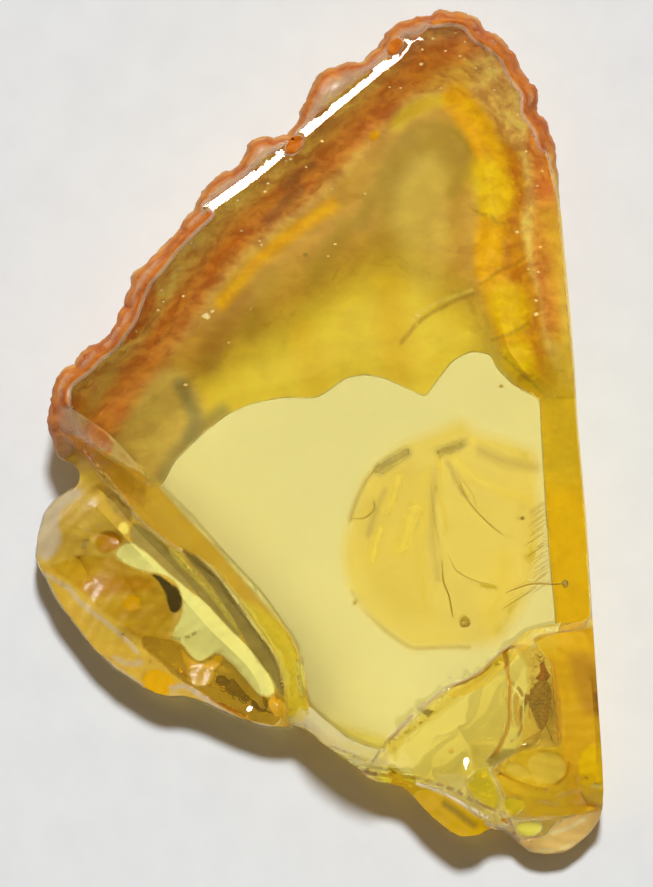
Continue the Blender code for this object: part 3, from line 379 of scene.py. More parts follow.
LOWER_PATCHES = (
    # the cloud, with its grey margin and its darker, paler and golden places
    Patch(Skin.LEFT_CLOUD, trace(-772, 107, -708, 230, -568, 243, -448, 217, -398, 140, -372, 23,
        -492, -100, -528, -167, -598, -127, -698, -27), soft=0.5),
    Patch(Skin.GREY, trace(-522, -130, -472, -50, -398, 30, -325, 83), width=0.5, soft=0.5,
        strength=0.7),
    Patch(Skin.GREY, trace(-465, 170, -438, 123, -412, 63, -432, 7), width=0.45, soft=0.4,
        strength=0.8),
    Patch(Skin.DARK_CLOUD, trace(-172, 523, -192, 457, -232, 373), width=0.8, soft=0.8,
        strength=0.6),
    Patch(Skin.DARK_CLOUD, trace(88, 690, 35, 623, -12, 550), width=0.7, soft=0.6, strength=0.75),
    Patch(Skin.PALE_CLOUD, trace(308, 923, 368, 950, 428, 897, 435, 790, 435, 657, 402, 490,
        318, 457, 268, 590, 252, 717, 262, 823), soft=0.9, strength=0.5),
    Patch(Skin.GOLD_CLOUD, trace(228, 507, 248, 357, 262, 197), width=1.0, soft=0.9,
        strength=0.7),
    Patch(Skin.GOLD_CLOUD, trace(-65, 357, -32, 257, -12, 173), width=0.9, soft=0.8,
        strength=0.5),
    Patch(Skin.DARK_CLOUD, trace(135, 717, 178, 797, 235, 907, 292, 997, 335, 1027, 388, 1037,
        442, 1020, 485, 983, 508, 937, 478, 883, 442, 817), width=0.42, soft=0.36, strength=0.9),
    Patch(Skin.BROWN_CLOUD, trace(-258, 470, -312, 383, -358, 303, -378, 250), width=0.8,
        soft=0.7, strength=0.7),
    # the rind seen through the stone, with its red and dark streaks
    Patch(Skin.RIND, RIND_AREA, soft=0.55, lift=0.05),
    Patch(Skin.GOLD_RIND, trace(285, 1223, 352, 1290, 435, 1307, 502, 1257, 518, 1173, 435, 1163,
        335, 1140), soft=0.5),
    Patch(Skin.RED_RIND, trace(602, 1323, 668, 1190, 702, 1090, 695, 957, 718, 790, 708, 623,
        735, 457, 762, 323, 808, 307, 802, 623, 852, 790, 835, 1057, 735, 1290), soft=0.35,
        strength=0.85),
    Patch(Skin.RED_RIND, trace(-692, 357, -638, 457, -565, 523, -538, 457, -578, 383, -638, 307),
        soft=0.3, strength=0.85),
    Patch(Skin.RED_RIND, trace(-732, 23, -638, 173, -512, 350, -378, 540, -225, 717, -65, 843,
        85, 980, 228, 1130, 375, 1270, 518, 1323), width=1.0, soft=0.6, strength=0.75),
    Patch(Skin.RED_RIND, trace(-372, 537, -348, 583, -312, 630, -265, 663), width=0.35, soft=0.25,
        strength=0.8),
    Patch(Skin.RED_RIND, trace(-565, 307, -515, 383, -465, 457), width=0.3, soft=0.25,
        strength=0.7),
    Patch(Skin.DARK_RIND, trace(-172, 717, -125, 773, -65, 823), width=0.35, soft=0.3,
        strength=0.8),
    Patch(Skin.DARK_RIND, trace(-115, 833, -65, 883, -25, 907), width=0.3, soft=0.3,
        strength=0.8),
    # the golden border between the cloud and the rind; down the right, its bright yellow run and
    # patches are painted light gathered under the sloping underside
    Patch(Skin.YELLOW_ORANGE, trace(-325, 450, -282, 503, -232, 563, -165, 623, -82, 687, -5, 740,
        42, 770), width=0.45, soft=0.4, strength=0.9),
    Patch(Skin.YELLOW_ORANGE, trace(158, 1007, 185, 1030, 208, 1013, 195, 990, 165, 987),
        soft=0.12),
    Patch(Skin.ARCH_YELLOW, trace(258, 1037, 292, 1080, 358, 1113, 438, 1127, 502, 1097,
        548, 1040, 575, 970), width=0.5, soft=0.3, strength=0.9),
    Patch(Skin.ORANGE, trace(602, 990, 662, 957, 688, 840, 668, 707, 702, 557, 735, 457, 748, 307,
        802, 173, 762, 137, 702, 223, 668, 323, 618, 457, 568, 557, 585, 690, 642, 790, 618, 907),
        soft=0.25, strength=0.85),
    # painted light from here to the end of the border: the bright yellow run and patches down the
    # right
    Patch(Skin.YELLOW_ORANGE, trace(458, 1130, 535, 1023, 578, 907, 592, 790, 562, 657, 562, 557,
        602, 457, 635, 357, 668, 257, 718, 173), width=0.95, soft=0.4, strength=0.9),
    Patch(Skin.YELLOW, trace(498, 907, 555, 937, 608, 897, 648, 823, 632, 757, 588, 710, 542, 740,
        508, 807), soft=0.5, strength=0.7),
    Patch(Skin.YELLOW_ORANGE, trace(528, 677, 575, 697, 612, 640, 602, 583, 572, 540, 558, 490,
        532, 507, 522, 590), soft=0.25),
    Patch(Skin.YELLOW, trace(575, 490, 618, 523, 675, 497, 705, 440, 692, 357, 638, 330, 595, 353,
        572, 423), soft=0.45, strength=0.7),
    Patch(Skin.YELLOW, trace(612, 303, 668, 323, 712, 283, 725, 207, 762, 147, 708, 147, 645, 203,
        605, 257), soft=0.3, strength=0.8),
    # fine cracks across the border
    Patch(Skin.BROWN, trace(502, 770, 535, 743, 575, 737, 595, 707, 635, 720), width=0.07,
        soft=0.14, strength=0.5),
    Patch(Skin.BROWN, trace(535, 510, 575, 540, 612, 563, 648, 570, 688, 603), width=0.07,
        soft=0.14, strength=0.5),
    Patch(Skin.BROWN, trace(575, 323, 618, 337, 662, 357, 708, 390), width=0.07, soft=0.14,
        strength=0.5),
    Patch(Skin.BROWN, trace(602, 283, 635, 250, 675, 210, 722, 170, 762, 130), width=0.07,
        soft=0.14, strength=0.5),
    # the long crease in the cloud
    Patch(Skin.PALE_CLOUD, trace(312, 390, 348, 427, 402, 453, 462, 473, 508, 490), width=0.12,
        soft=0.12, strength=0.9),
    Patch(Skin.BROWN_CLOUD, trace(272, 313, 302, 353, 335, 387, 368, 413, 402, 430, 455, 457,
        512, 477), width=0.1, soft=0.14, strength=0.8),
    # the slanting sawn side
    Patch(Skin.GOLD, trace(735, 130, 748, -127, 768, -403, 788, -603, 805, -810, 822, -1010,
        835, -1170, 900, -1260, 980, -1250, 980, -600, 900, 130), soft=0.05),
    Patch(Skin.STRIP_TOP, trace(730, 760, 860, 800, 890, 140, 890, -160, 730, -160, 730, 130,
        790, 400), soft=1.2, strength=0.8),
    # the clear window, with the shell-shaped hollow and its ribs
    Patch(Skin.WINDOW, WINDOW, soft=0.05),
    Patch(Skin.FAN, trace(475, 63, 522, 17, 632, -13, 725, -50, 738, -277, 728, -460, 668, -583,
        612, -670, 538, -697, 432, -703, 305, -707, 215, -643, 135, -570, 88, -480, 75, -400,
        85, -320, 108, -247, 142, -147, 202, -80, 278, -20, 378, 17), soft=0.5),
    Patch(Skin.FAN_GOLD, trace(195, -103, 268, -83, 352, -110, 375, -243, 362, -410, 385, -610,
        268, -610, 168, -510, 128, -377, 142, -227), soft=0.7, strength=0.9),
    Patch(Skin.FAN_BRIGHT, trace(262, -137, 248, -193, 228, -250), width=0.3, soft=0.35),
    Patch(Skin.FAN_BRIGHT, trace(315, -243, 295, -310, 275, -370), width=0.5, soft=0.45),
    Patch(Skin.FAN_BRIGHT, trace(202, -310, 185, -360, 175, -410), width=0.3, soft=0.35),
    Patch(Skin.FAN_BRIGHT, trace(402, -60, 402, -177, 422, -310), width=0.14, soft=0.2,
        strength=0.8),
    Patch(Skin.FAN_BRIGHT, trace(435, -60, 502, -127, 602, -177, 702, -210), width=0.25, soft=0.3,
        strength=0.6),
    Patch(Skin.FAN_BRIGHT, trace(362, -110, 352, -243, 335, -410, 348, -543), width=0.2, soft=0.3,
        strength=0.6),
    Patch(Skin.FAN_BRIGHT, trace(618, -410, 602, -510, 568, -610), width=0.6, soft=0.5,
        strength=0.6),
    Patch(Skin.FAN_DARK, trace(535, -43, 618, -83, 718, -103), width=0.3, soft=0.3, strength=0.7),
    Patch(Skin.FAN_DARK, trace(428, -83, 455, -143, 482, -193), width=0.12, soft=0.12,
        strength=0.8),
    Patch(Skin.FAN_DARK, trace(218, -177, 188, -243, 162, -327), width=0.15, soft=0.2,
        strength=0.6),
    Patch(Skin.FAN_DARK, trace(388, -110, 375, -210, 378, -343, 395, -477), width=0.2, soft=0.25,
        strength=0.5),
    Patch(Skin.FAN_DARK, trace(108, -510, 155, -580, 222, -650, 305, -707, 432, -700, 502, -703),
        width=0.1, soft=0.15, strength=0.6),
    Patch(Skin.FAN_DARK, trace(102, -277, 122, -210, 155, -143, 195, -97), width=0.12, soft=0.15,
        strength=0.9),
    Patch(Skin.OLIVE, trace(198, -110, 228, -87, 258, -67, 292, -50), width=0.3, soft=0.3,
        strength=0.7),
    Patch(Skin.OLIVE, trace(402, -47, 432, -40, 465, -30), width=0.3, soft=0.3, strength=0.7),
    # the thin ledge, clear from below
    Patch(Skin.WINDOW, trace(-772, -97, -705, -157, -638, -237, -565, -327, -448, -450,
        -348, -543, -255, -640, -185, -717, -128, -823, -105, -917, -78, -1010, -565, -943,
        -865, -677, -998, -443, -982, -143), soft=0.06),
)
LOBE_PATCHES = (
    # the frosted upper end of the ledge
    Patch(Skin.LOBE_TOP, trace(-793, -30, -724, -144, -626, -254, -598, -282, -529, -340,
        -460, -380, -402, -420, -334, -477, -276, -558, -219, -638, -161, -713, -121, -799,
        -104, -914, -92, -1005, -563, -971, -965, -684, -1022, -397, -965, -167), soft=0.08),
    Patch(Skin.LOBE_PALE, trace(-948, -397, -942, -340, -925, -248, -879, -208, -844, -179,
        -799, -162, -787, -196, -839, -225, -867, -259, -873, -299, -856, -340, -879, -386,
        -913, -420), soft=0.2),
    Patch(Skin.LOBE_OLIVE, trace(-718, -162, -667, -190, -621, -248, -626, -288, -661, -276,
        -695, -242, -718, -202), soft=0.15),
    Patch(Skin.LOBE_ORANGE, trace(-753, -340, -718, -311, -678, -322, -649, -340, -678, -374,
        -718, -391, -747, -374), soft=0.1),
    Patch(Skin.LOBE_OLIVE, trace(-804, -368, -787, -340, -764, -334, -764, -357, -787, -380),
        soft=0.08),
    # painted glint
    Patch(Skin.PALE_SPOT, trace(-675, -288, -652, -276, -632, -294, -635, -322, -655, -328,
        -672, -311), soft=0.06),
    Patch(Skin.FROST, trace(-850, -317, -793, -311, -735, -294), width=0.06, soft=0.06,
        strength=0.7),
    # its golden middle and the low part over the smaller insect
    Patch(Skin.LOBE_GOLD, trace(-902, -431, -799, -397, -724, -397, -667, -414, -609, -443,
        -563, -454, -529, -483, -506, -546, -489, -598, -506, -650, -489, -678, -460, -718,
        -506, -701, -563, -690, -621, -661, -655, -627, -712, -592, -776, -535, -833, -489),
        soft=0.12),
    Patch(Skin.LOBE_ORANGE, trace(-816, -489, -735, -466, -644, -460, -569, -466, -540, -512,
        -598, -512, -689, -523, -758, -535), soft=0.2, strength=0.8),
    Patch(Skin.ORANGE_SPOT, trace(-661, -563, -655, -535, -621, -523, -592, -535, -598, -569,
        -626, -586, -649, -578), soft=0.1),
    Patch(Skin.LOBE_LOW, trace(-598, -661, -529, -673, -460, -690, -414, -747, -374, -741,
        -339, -707, -305, -736, -265, -787, -219, -833, -173, -873, -133, -896, -115, -931,
        -161, -971, -247, -971, -316, -925, -391, -873, -448, -822, -494, -787, -540, -741,
        -592, -707), soft=0.1),
    Patch(Skin.AMBER_EDGE, trace(-466, -696, -437, -736, -402, -759, -368, -753, -339, -718,
        -316, -741, -357, -782, -402, -793, -448, -770), soft=0.1, strength=0.8),
    Patch(Skin.AMBER_EDGE, trace(-179, -885, -150, -862, -121, -873, -115, -925, -144, -937),
        soft=0.08, strength=0.8),
    # its clear window, with two stripes and a wedge of painted shadow (the card's shadow seen
    # through the ledge), a painted highlight line, and a thin dark line along a thread
    Patch(Skin.LOBE_WINDOW, trace(-689, -391, -644, -345, -598, -363, -557, -397, -517, -437,
        -471, -477, -437, -512, -385, -546, -334, -598, -288, -644, -242, -696, -196, -747,
        -161, -793, -144, -828, -144, -850, -167, -868, -202, -862, -236, -822, -276, -776,
        -316, -736, -339, -713, -374, -736, -402, -753, -431, -730, -454, -696, -471, -673,
        -489, -667, -489, -644, -466, -615, -454, -569, -460, -523, -483, -477, -529, -454,
        -569, -449, -621, -437, -667, -408), soft=0.05),
    # painted shadow: the card's shadow under the tall break, seen through the ledge
    Patch(Skin.STRIPE, trace(-629, -288, -598, -288, -552, -328, -506, -368, -460, -420,
        -420, -466, -379, -512, -334, -563, -293, -615, -259, -661, -276, -667, -311, -627,
        -357, -575, -397, -535, -437, -506, -483, -472, -529, -431, -569, -391, -621, -357,
        -638, -328), soft=0.1),
    # painted highlight along the edge of the tall break
    Patch(Skin.BAND_EDGE_HIGHLIGHT, trace(-489, -380, -448, -431, -402, -472, -351, -529, -299, -598,
        -270, -638), width=0.2, soft=0.12),
    # painted shadow: a second, thinner stripe of it beside the tall break
    Patch(Skin.STRIPE, trace(-460, -351, -420, -386, -368, -431, -328, -477, -293, -529,
        -253, -586, -213, -644, -173, -690, -144, -741, -124, -799, -113, -850, -121, -873,
        -136, -850, -161, -799, -202, -753, -236, -701, -262, -655, -293, -598, -334, -535,
        -379, -472, -425, -426, -454, -386), soft=0.08),
    # painted shadow: a wedge of the card's shadow seen through a clear facet
    Patch(Skin.SHADOW_WEDGE, trace(-569, -454, -534, -457, -506, -483, -471, -500, -460, -529,
        -454, -558, -471, -586, -494, -592, -506, -563, -512, -523, -540, -477), soft=0.06),
    Patch(Skin.STRIPE, trace(-494, -670, -460, -675, -431, -664, -411, -650), width=0.09,
        soft=0.06),
    # frosted lines and golden chips along its outer edge
    Patch(Skin.FROST, trace(-919, -454, -873, -483, -833, -506, -810, -541, -764, -581,
        -718, -615, -684, -644, -644, -678, -609, -718), width=0.16, soft=0.1, strength=0.9),
    Patch(Skin.FROST, trace(-913, -477, -879, -541, -844, -598, -804, -644, -764, -701,
        -718, -741, -678, -770, -632, -799, -592, -828), width=0.12, soft=0.08, strength=0.9),
    Patch(Skin.FROST, trace(-684, -736, -644, -759, -598, -753), width=0.2, soft=0.15,
        strength=0.8),
    Patch(Skin.LOBE_OLIVE, trace(-580, -747, -569, -733, -555, -744, -563, -762), soft=0.08),
    Patch(Skin.AMBER_EDGE, trace(-592, -793, -552, -770, -512, -787, -477, -805, -494, -845,
        -523, -868, -563, -850, -592, -822), soft=0.06),
    Patch(Skin.FROST, trace(-489, -839, -448, -828, -414, -850, -362, -885, -305, -925,
        -247, -954, -161, -971), width=0.18, soft=0.08),
    # the tall break that falls to the ledge, painted with the glow of light that shows through its
    # steep wall, brightest at its foot
    Patch(Skin.BAND, trace(-879, 39, -776, -7, -689, -76, -609, -110, -529, -167, -448, -259,
        -368, -340, -288, -431, -219, -512, -150, -592, -104, -650, -70, -718, -47, -799,
        -35, -925, -70, -960, -110, -948, -110, -914, -115, -828, -133, -753, -161, -696,
        -196, -644, -242, -569, -299, -500, -357, -431, -414, -391, -489, -363, -540, -322,
        -598, -276, -644, -208, -724, -110, -793, -53), soft=0.1),
    Patch(Skin.AMBER_EDGE, trace(-776, -7, -718, -53, -644, -99, -598, -173, -644, -190,
        -707, -121, -764, -58), soft=0.2, strength=0.7),
    # painted light: the glow, bright yellow at the foot of the break
    Patch(Skin.BAND_LOW, trace(-276, -535, -202, -563, -138, -615, -92, -673, -64, -730,
        -47, -799, -35, -925, -70, -960, -110, -948, -110, -914, -115, -828, -133, -753,
        -161, -696, -207, -638), soft=0.25),
    # painted light: bright spots at the foot of the glow
    Patch(Skin.BRIGHT_YELLOW, trace(-72, -753, -61, -799, -61, -850), width=0.2, soft=0.15),
)
TIP_PATCHES = (
    # the clear break at the lower edge and the lip below it
    Patch(Skin.CLEAR_YELLOW, trace(-52, -920, 269, -1008, 335, -903, 418, -837, 490, -820,
        567, -748, 622, -709, 711, -693, 722, -997, 645, -1052, 556, -1107, 501, -1152,
        335, -1163, 114, -1063), soft=0.3),
    Patch(Skin.SPARK, trace(-78, -950, 18, -1020, 102, -1047, 202, -1080, 302, -1130, 375, -1170,
        362, -1210, 268, -1183, 202, -1143, 102, -1090, -5, -1057, -78, -1003), soft=0.08),
    # the edge of the polished top
    Patch(Skin.CREST_GOLD, trace(147, -1168, 224, -1052, 302, -964, 357, -936, 412, -892,
        473, -842, 539, -798, 573, -754, 622, -715), width=0.3, soft=0.2),
    Patch(Skin.CREST_LINE, trace(224, -1008, 285, -947, 335, -897, 368, -875, 418, -831,
        484, -809, 523, -787, 551, -770, 578, -732, 606, -709, 639, -693, 689, -698), width=0.09,
        soft=0.07),
    Patch(Skin.CREST_LINE, trace(147, -1124, 202, -1041, 263, -991, 324, -964, 352, -925,
        379, -911), width=0.06, soft=0.06, strength=0.8),
    Patch(Skin.LENS_OLIVE, trace(329, -897, 357, -895, 382, -911, 363, -925, 335, -920),
        soft=0.08, strength=0.8),
    # the stone over and beside the larger insect, with its veins
    Patch(Skin.HAZE_CLEAR, trace(633, -682, 722, -693, 821, -709, 821, -1036, 755, -1063,
        689, -1052, 645, -1058, 667, -997, 689, -920, 694, -776, 667, -721), soft=0.12),
    Patch(Skin.HAZE, trace(705, -665, 998, -610, 998, -1329, 877, -1262, 777, -1273, 645, -1273,
        600, -1163, 567, -1107, 645, -1052, 689, -1036, 805, -1030, 799, -886, 777, -748,
        722, -698), soft=0.15),
    Patch(Skin.HAZE_BROWN, trace(821, -721, 877, -709, 926, -754, 932, -920, 882, -920,
        849, -831), soft=0.4),
    Patch(Skin.VEIN_DEEP, trace(916, -853, 921, -886, 925, -925), width=0.14, soft=0.15,
        strength=0.8),
    Patch(Skin.VEIN, trace(617, -709, 624, -776, 633, -831, 628, -886, 631, -942, 617, -986,
        600, -1030, 573, -1063), width=0.14, soft=0.09),
    Patch(Skin.HAZE_BROWN, trace(645, -842, 664, -853, 667, -920, 661, -975, 645, -969,
        642, -897), soft=0.08, strength=0.8),
    Patch(Skin.VEIN_DEEP, trace(631, -798, 645, -823, 664, -834, 677, -864, 672, -897, 667, -920,
        673, -964, 667, -986, 642, -1008), width=0.07, soft=0.06),
    Patch(Skin.CREST_LINE, trace(706, -709, 704, -776, 706, -853), width=0.05, soft=0.1,
        strength=0.6),
    # lens-shaped cracks and sparks below the insect; the bright light in the lenses is painted
    # caustic light
    Patch(Skin.LENS_OLIVE, trace(548, -1074, 595, -1041, 645, -1036, 689, -1022, 722, -997,
        744, -980, 736, -1008, 694, -1038, 645, -1055, 600, -1080, 567, -1102), soft=0.1,
        strength=0.8),
    Patch(Skin.LENS_OLIVE, trace(777, -980, 788, -1002, 794, -1027), width=0.08, soft=0.08,
        strength=0.7),
    Patch(Skin.LENS, trace(694, -1069, 722, -1052, 772, -1047, 816, -1069, 827, -1107, 805, -1146,
        761, -1157, 716, -1146, 694, -1107), soft=0.1),
    Patch(Skin.LENS, trace(611, -1096, 645, -1080, 689, -1102, 711, -1141, 667, -1135,
        622, -1113), soft=0.1),
    Patch(Skin.VEIN, trace(600, -1121, 645, -1146, 689, -1163, 738, -1174, 783, -1163, 821, -1130,
        830, -1085), width=0.08, soft=0.07),
    Patch(Skin.SPARK, trace(484, -1146, 517, -1102, 556, -1096, 578, -1141, 600, -1196,
        595, -1246, 556, -1229, 501, -1190), soft=0.12),
    Patch(Skin.SPARK, trace(606, -1210, 639, -1196, 694, -1218, 678, -1246, 645, -1268,
        617, -1246), soft=0.08),
    Patch(Skin.BRIGHT_YELLOW, trace(647, -1295, 694, -1279, 747, -1290, 744, -1312, 716, -1337,
        667, -1331), soft=0.07),
    # the sawn corner
    Patch(Skin.CREST_LINE, trace(639, -1273, 678, -1257, 722, -1246), width=0.05, soft=0.06,
        strength=0.8),
    Patch(Skin.ORANGE_BRIGHT, trace(866, -1052, 904, -1019, 948, -1030, 976, -1235, 893, -1223,
        860, -1152), soft=0.12),
    Patch(Skin.VEIN_DEEP, trace(888, -1135, 915, -1149, 937, -1141), width=0.06, soft=0.06,
        strength=0.7),
    # the rough tip, painted with the reflection of the light on its rounded end, and the lobe
    # beside it
    Patch(Skin.PALE_SPOT, trace(910, -1163, 932, -1168, 946, -1163), width=0.1, soft=0.06),
    Patch(Skin.ROUGH_TIP_SHEEN, trace(667, -1351, 755, -1334, 777, -1301, 816, -1273, 866, -1262,
        932, -1246, 1026, -1235, 1026, -1439, 645, -1439), soft=0.1),
    Patch(Skin.FROST_PALE, trace(777, -1323, 832, -1306, 888, -1273), width=0.12, soft=0.1,
        strength=0.7),
    Patch(Skin.FROST_PALE, trace(689, -1378, 766, -1384, 832, -1367, 893, -1323), width=0.08,
        soft=0.08, strength=0.7),
    Patch(Skin.GOLD_LOBE, trace(318, -1179, 368, -1174, 423, -1196, 479, -1229, 517, -1262,
        578, -1290, 567, -1329, 512, -1356, 451, -1345, 407, -1301, 363, -1251, 313, -1212),
        soft=0.06),
    # lines along the lip, a golden facet of the ledge, a painted highlight along the lip, and the
    # frosted rim
    Patch(Skin.LENS_OLIVE, trace(418, -1223, 451, -1246, 490, -1279, 517, -1295), width=0.22,
        soft=0.15, strength=0.85),
    Patch(Skin.CREST_LINE, trace(25, -1063, 114, -1107, 191, -1124, 263, -1130, 335, -1135,
        390, -1157, 446, -1174, 501, -1207, 545, -1229, 600, -1251, 633, -1279, 650, -1323),
        width=0.09, soft=0.07),
    Patch(Skin.BRIGHT_YELLOW, trace(-8, -1019, 70, -1069, 142, -1091, 224, -1107, 302, -1113),
        width=0.14, soft=0.12, strength=0.8),
    Patch(Skin.CREST_LINE, trace(37, -1030, 97, -1052, 153, -1085), width=0.06, soft=0.06,
        strength=0.8),
    Patch(Skin.LOBE_GOLD, trace(-450, -775, -390, -765, -345, -785, -360, -820, -420, -835),
        soft=0.12),
    # painted highlight along the lip
    Patch(Skin.LIP_HIGHLIGHT, trace(324, -1154, 368, -1168, 412, -1179, 462, -1212, 501, -1235,
        534, -1257, 567, -1273), width=0.1, soft=0.06),
    Patch(Skin.FROST, trace(556, -1290, 595, -1301, 633, -1323, 667, -1345), width=0.12,
        soft=0.08),
)
RIM_BREAKS = (
    Patch(Skin.EDGE_RIND, TOP_FACE_EDGE[43:57], width=0.3, soft=0.14),
    Patch(Skin.EDGE_RIND, TOP_FACE_EDGE[:11], width=0.3, soft=0.14),
    Patch(Skin.EDGE_RIND, trace(-92, 997, -65, 1010, -45, 977, -75, 937, -112, 930, -118, 963),
        soft=0.05),
    Patch(Skin.EDGE_RIND, trace(225, 1310, 262, 1330, 285, 1307, 262, 1270, 222, 1257),
        soft=0.05),
)
UPPER_PATCHES = (
    Patch(Skin.POLISHED, TOP_FACE_EDGE[:-1], soft=0.03),
    *RIM_BREAKS, *LOBE_PATCHES, *TIP_PATCHES,
    Patch(Skin.FROST_PALE, trace(675, 240, 715, 210, 758, 177, 802, 147), width=0.05, soft=0.06,
        strength=0.5),
)


@dataclass
class Sheet:
    """One side of the slice: triangles inside the outline, with a height and a skin at each point.

    A row of points is x, y and height, then the skin's red, green, blue, cover, roughness and
    mottle. Held points lie on drawn lines and keep their height.
    """

    points: np.ndarray
    faces: list[tuple[int, ...]]
    ring: list[int]
    held: np.ndarray


def tree_of(places: list[Point] | np.ndarray) -> kdtree.KDTree:
    """Index places, to find the nearest of them.

    Args:
        places: rows that start with x and y.

    Returns:
        The tree; its items have the numbers of the rows.
    """
    tree = kdtree.KDTree(len(places))
    for number, place in enumerate(places):
        tree.insert((place[0], place[1], 0.0), number)
    tree.balance()
    return tree


def outward_of(ring: np.ndarray) -> np.ndarray:
    """Which way is out of the slice at each point of its outline.

    Args:
        ring: the outline, rows that start with x and y.

    Returns:
        A unit direction (x, y) for each row.
    """
    along = np.roll(ring, -1, axis=0)[:, :2] - np.roll(ring, 1, axis=0)[:, :2]
    along /= np.linalg.norm(along, axis=1)[:, None]
    return np.stack([-along[:, 1], along[:, 0]], 1)


@dataclass
class AmberForm:
    """The closed form of the slice, made from its outline and drawn lines.

    Every number in the points is in mm; the skin values ride along with the heights.
    """

    line_step: float = 0.12
    rough_step: float = 0.11
    smooth_step: float = 0.35
    clearance: float = 0.62
    guide_gap: float = 0.04
    guide_room: float = 0.033
    grid_wobble: float = 0.25
    edge_wobble: float = 0.09
    merge_reach: float = 1e-4
    settle_rounds: int = 40
    wall_rows: int = 7

    def densify(self, points: list[tuple], closed: bool) -> list[tuple]:
        """Add points along straight pieces until none is longer than the line step.

        Args:
            points: tuples whose first two numbers are x and y.
            closed: whether the last point joins the first.

        Returns:
            The denser list, each new point mixed evenly from its two neighbours.
        """
        dense = []
        count = len(points)
        for i in range(count if closed else count - 1):
            a, b = points[i], points[(i + 1) % count]
            steps = max(1, round(math.hypot(b[0] - a[0], b[1] - a[1]) / self.line_step))
            dense += [tuple(p + (q - p) * s / steps for p, q in zip(a, b)) for s in range(steps)]
        if not closed:
            dense.append(points[-1])
        return dense

    @staticmethod
    def rounded(points: list[tuple], closed: bool, rounds: int = 2) -> list[tuple]:
        """Ease the corners of a dense line, as a real edge is never drawn with a ruler.

        Args:
            points: tuples that start with x and y.
            closed: whether the last point joins the first.
            rounds: how often each point is mixed with its neighbours.

        Returns:
            The eased line, with as many points.
        """
        row = np.array(points)
        for _ in range(rounds):
            before, after = np.roll(row, 1, axis=0), np.roll(row, -1, axis=0)
            eased = (before + 2 * row + after) / 4
            if not closed:
                eased[0], eased[-1] = row[0], row[-1]
            row = eased
        return [tuple(r) for r in row]

    def outline(self) -> tuple[np.ndarray, Point]:
        """Draw the outline densely, with a small natural wobble where it is rind.

        Returns:
            Rows of x, y, upper edge, lower edge, bump and the skin values, and the middle of the
            outline's box.
        """
        row = np.array([(x, y, s.top, s.low, s.bump, *s.skin.values())
                        for s in OUTLINE for x, y in s.points])
        middle = ((row[:, 0].min() + row[:, 0].max()) / 2, (row[:, 1].min() + row[:, 1].max()) / 2)
        for _ in range(2):
            row[:, 2:] = (np.roll(row, 1, axis=0) + 2 * row + np.roll(row, -1, axis=0))[:, 2:] / 4
        dense = np.array(self.rounded(self.densify([tuple(r) for r in row], True), True))
        dense[:, 0] -= middle[0]
        dense[:, 1] -= middle[1]
        outward = outward_of(dense)
        for i, (x, y) in enumerate(dense[:, :2].copy()):
            wave = noise.fractal(Vector((x, y, 0.0)) * 2.2, 0.8, 2.0, 3)
            dense[i, :2] += outward[i] * (wave * self.edge_wobble * dense[i, 4])
        return dense, middle

    def drawn_rows(self, lines: tuple[Line, ...], middle: Point) -> list[list[tuple]]:
        """Turn the drawn lines into dense rows.

        Args:
            lines: the lines of one side.
            middle: the middle of the outline's box, which becomes the origin.

        Returns:
            For each line, rows of x, y, height and skin values.
        """
        rows = []
        for line in lines:
            end = line.start if line.end is None else line.end
            last = max(1, len(line.points) - 1)
            row = [(x - middle[0], y - middle[1], line.start + (end - line.start) * i / last,
                    *line.skin.values()) for i, (x, y) in enumerate(line.points)]
            rows.append(self.rounded(self.densify(row, False), False, 3))
        return rows

    def triangulate(self, ring: list[tuple], rows: list[list[tuple]],
                    extra: list[Point]) -> Sheet:
        """Triangulate the inside of the ring, with every row of points kept as edges.

        Args:
            ring: the outline, rows of x, y, height and skin values.
            rows: the drawn lines in the same form.
            extra: free points (x, y), whose height is settled later.

        Returns:
            The sheet, with free heights not settled yet.
        """
        known = [tuple(p) for p in ring]
        edges = [(i, (i + 1) % len(ring)) for i in range(len(ring))]
        for row in rows:
            first = len(known)
            known += row
            edges += [(first + i, first + i + 1) for i in range(len(row) - 1)]
        flat = [Vector(p[:2]) for p in known] + [Vector(p) for p in extra]
        points, _, faces, sources, _, _ = delaunay_2d_cdt(flat, edges, [], 1, self.merge_reach)
        placed = np.zeros((len(points), len(ring[0])))
        held = np.zeros(len(points), bool)
        ring_at = {}
        for new, (point, source) in enumerate(zip(points, sources)):
            placed[new, :2] = point
            fixed = [i for i in source if i < len(known)]
            if fixed:
                placed[new, 2:] = known[fixed[0]][2:]
                held[new] = True
            for i in fixed:
                if i < len(ring):
                    ring_at[i] = new
        crossings = [i for i, source in enumerate(sources) if not source]
        if crossings:
            tree = tree_of(known)
            for i in crossings:
                placed[i, 2:] = known[tree.find((placed[i, 0], placed[i, 1], 0.0))[1]][2:]
                held[i] = True
        return Sheet(placed, [tuple(f) for f in faces], [ring_at[i] for i in range(len(ring))],
                     held)

    def patch_line(self, patch: Patch, middle: Point) -> np.ndarray:
        """Draw a patch's line densely and rounded.

        Args:
            patch: the patch.
            middle: the middle of the outline's box, which becomes the origin.

        Returns:
            Rows of x and y.
        """
        drawn = [(x - middle[0], y - middle[1]) for x, y in patch.points]
        return np.array(self.rounded(self.densify(drawn, patch.closed), patch.closed, 3))[:, :2]

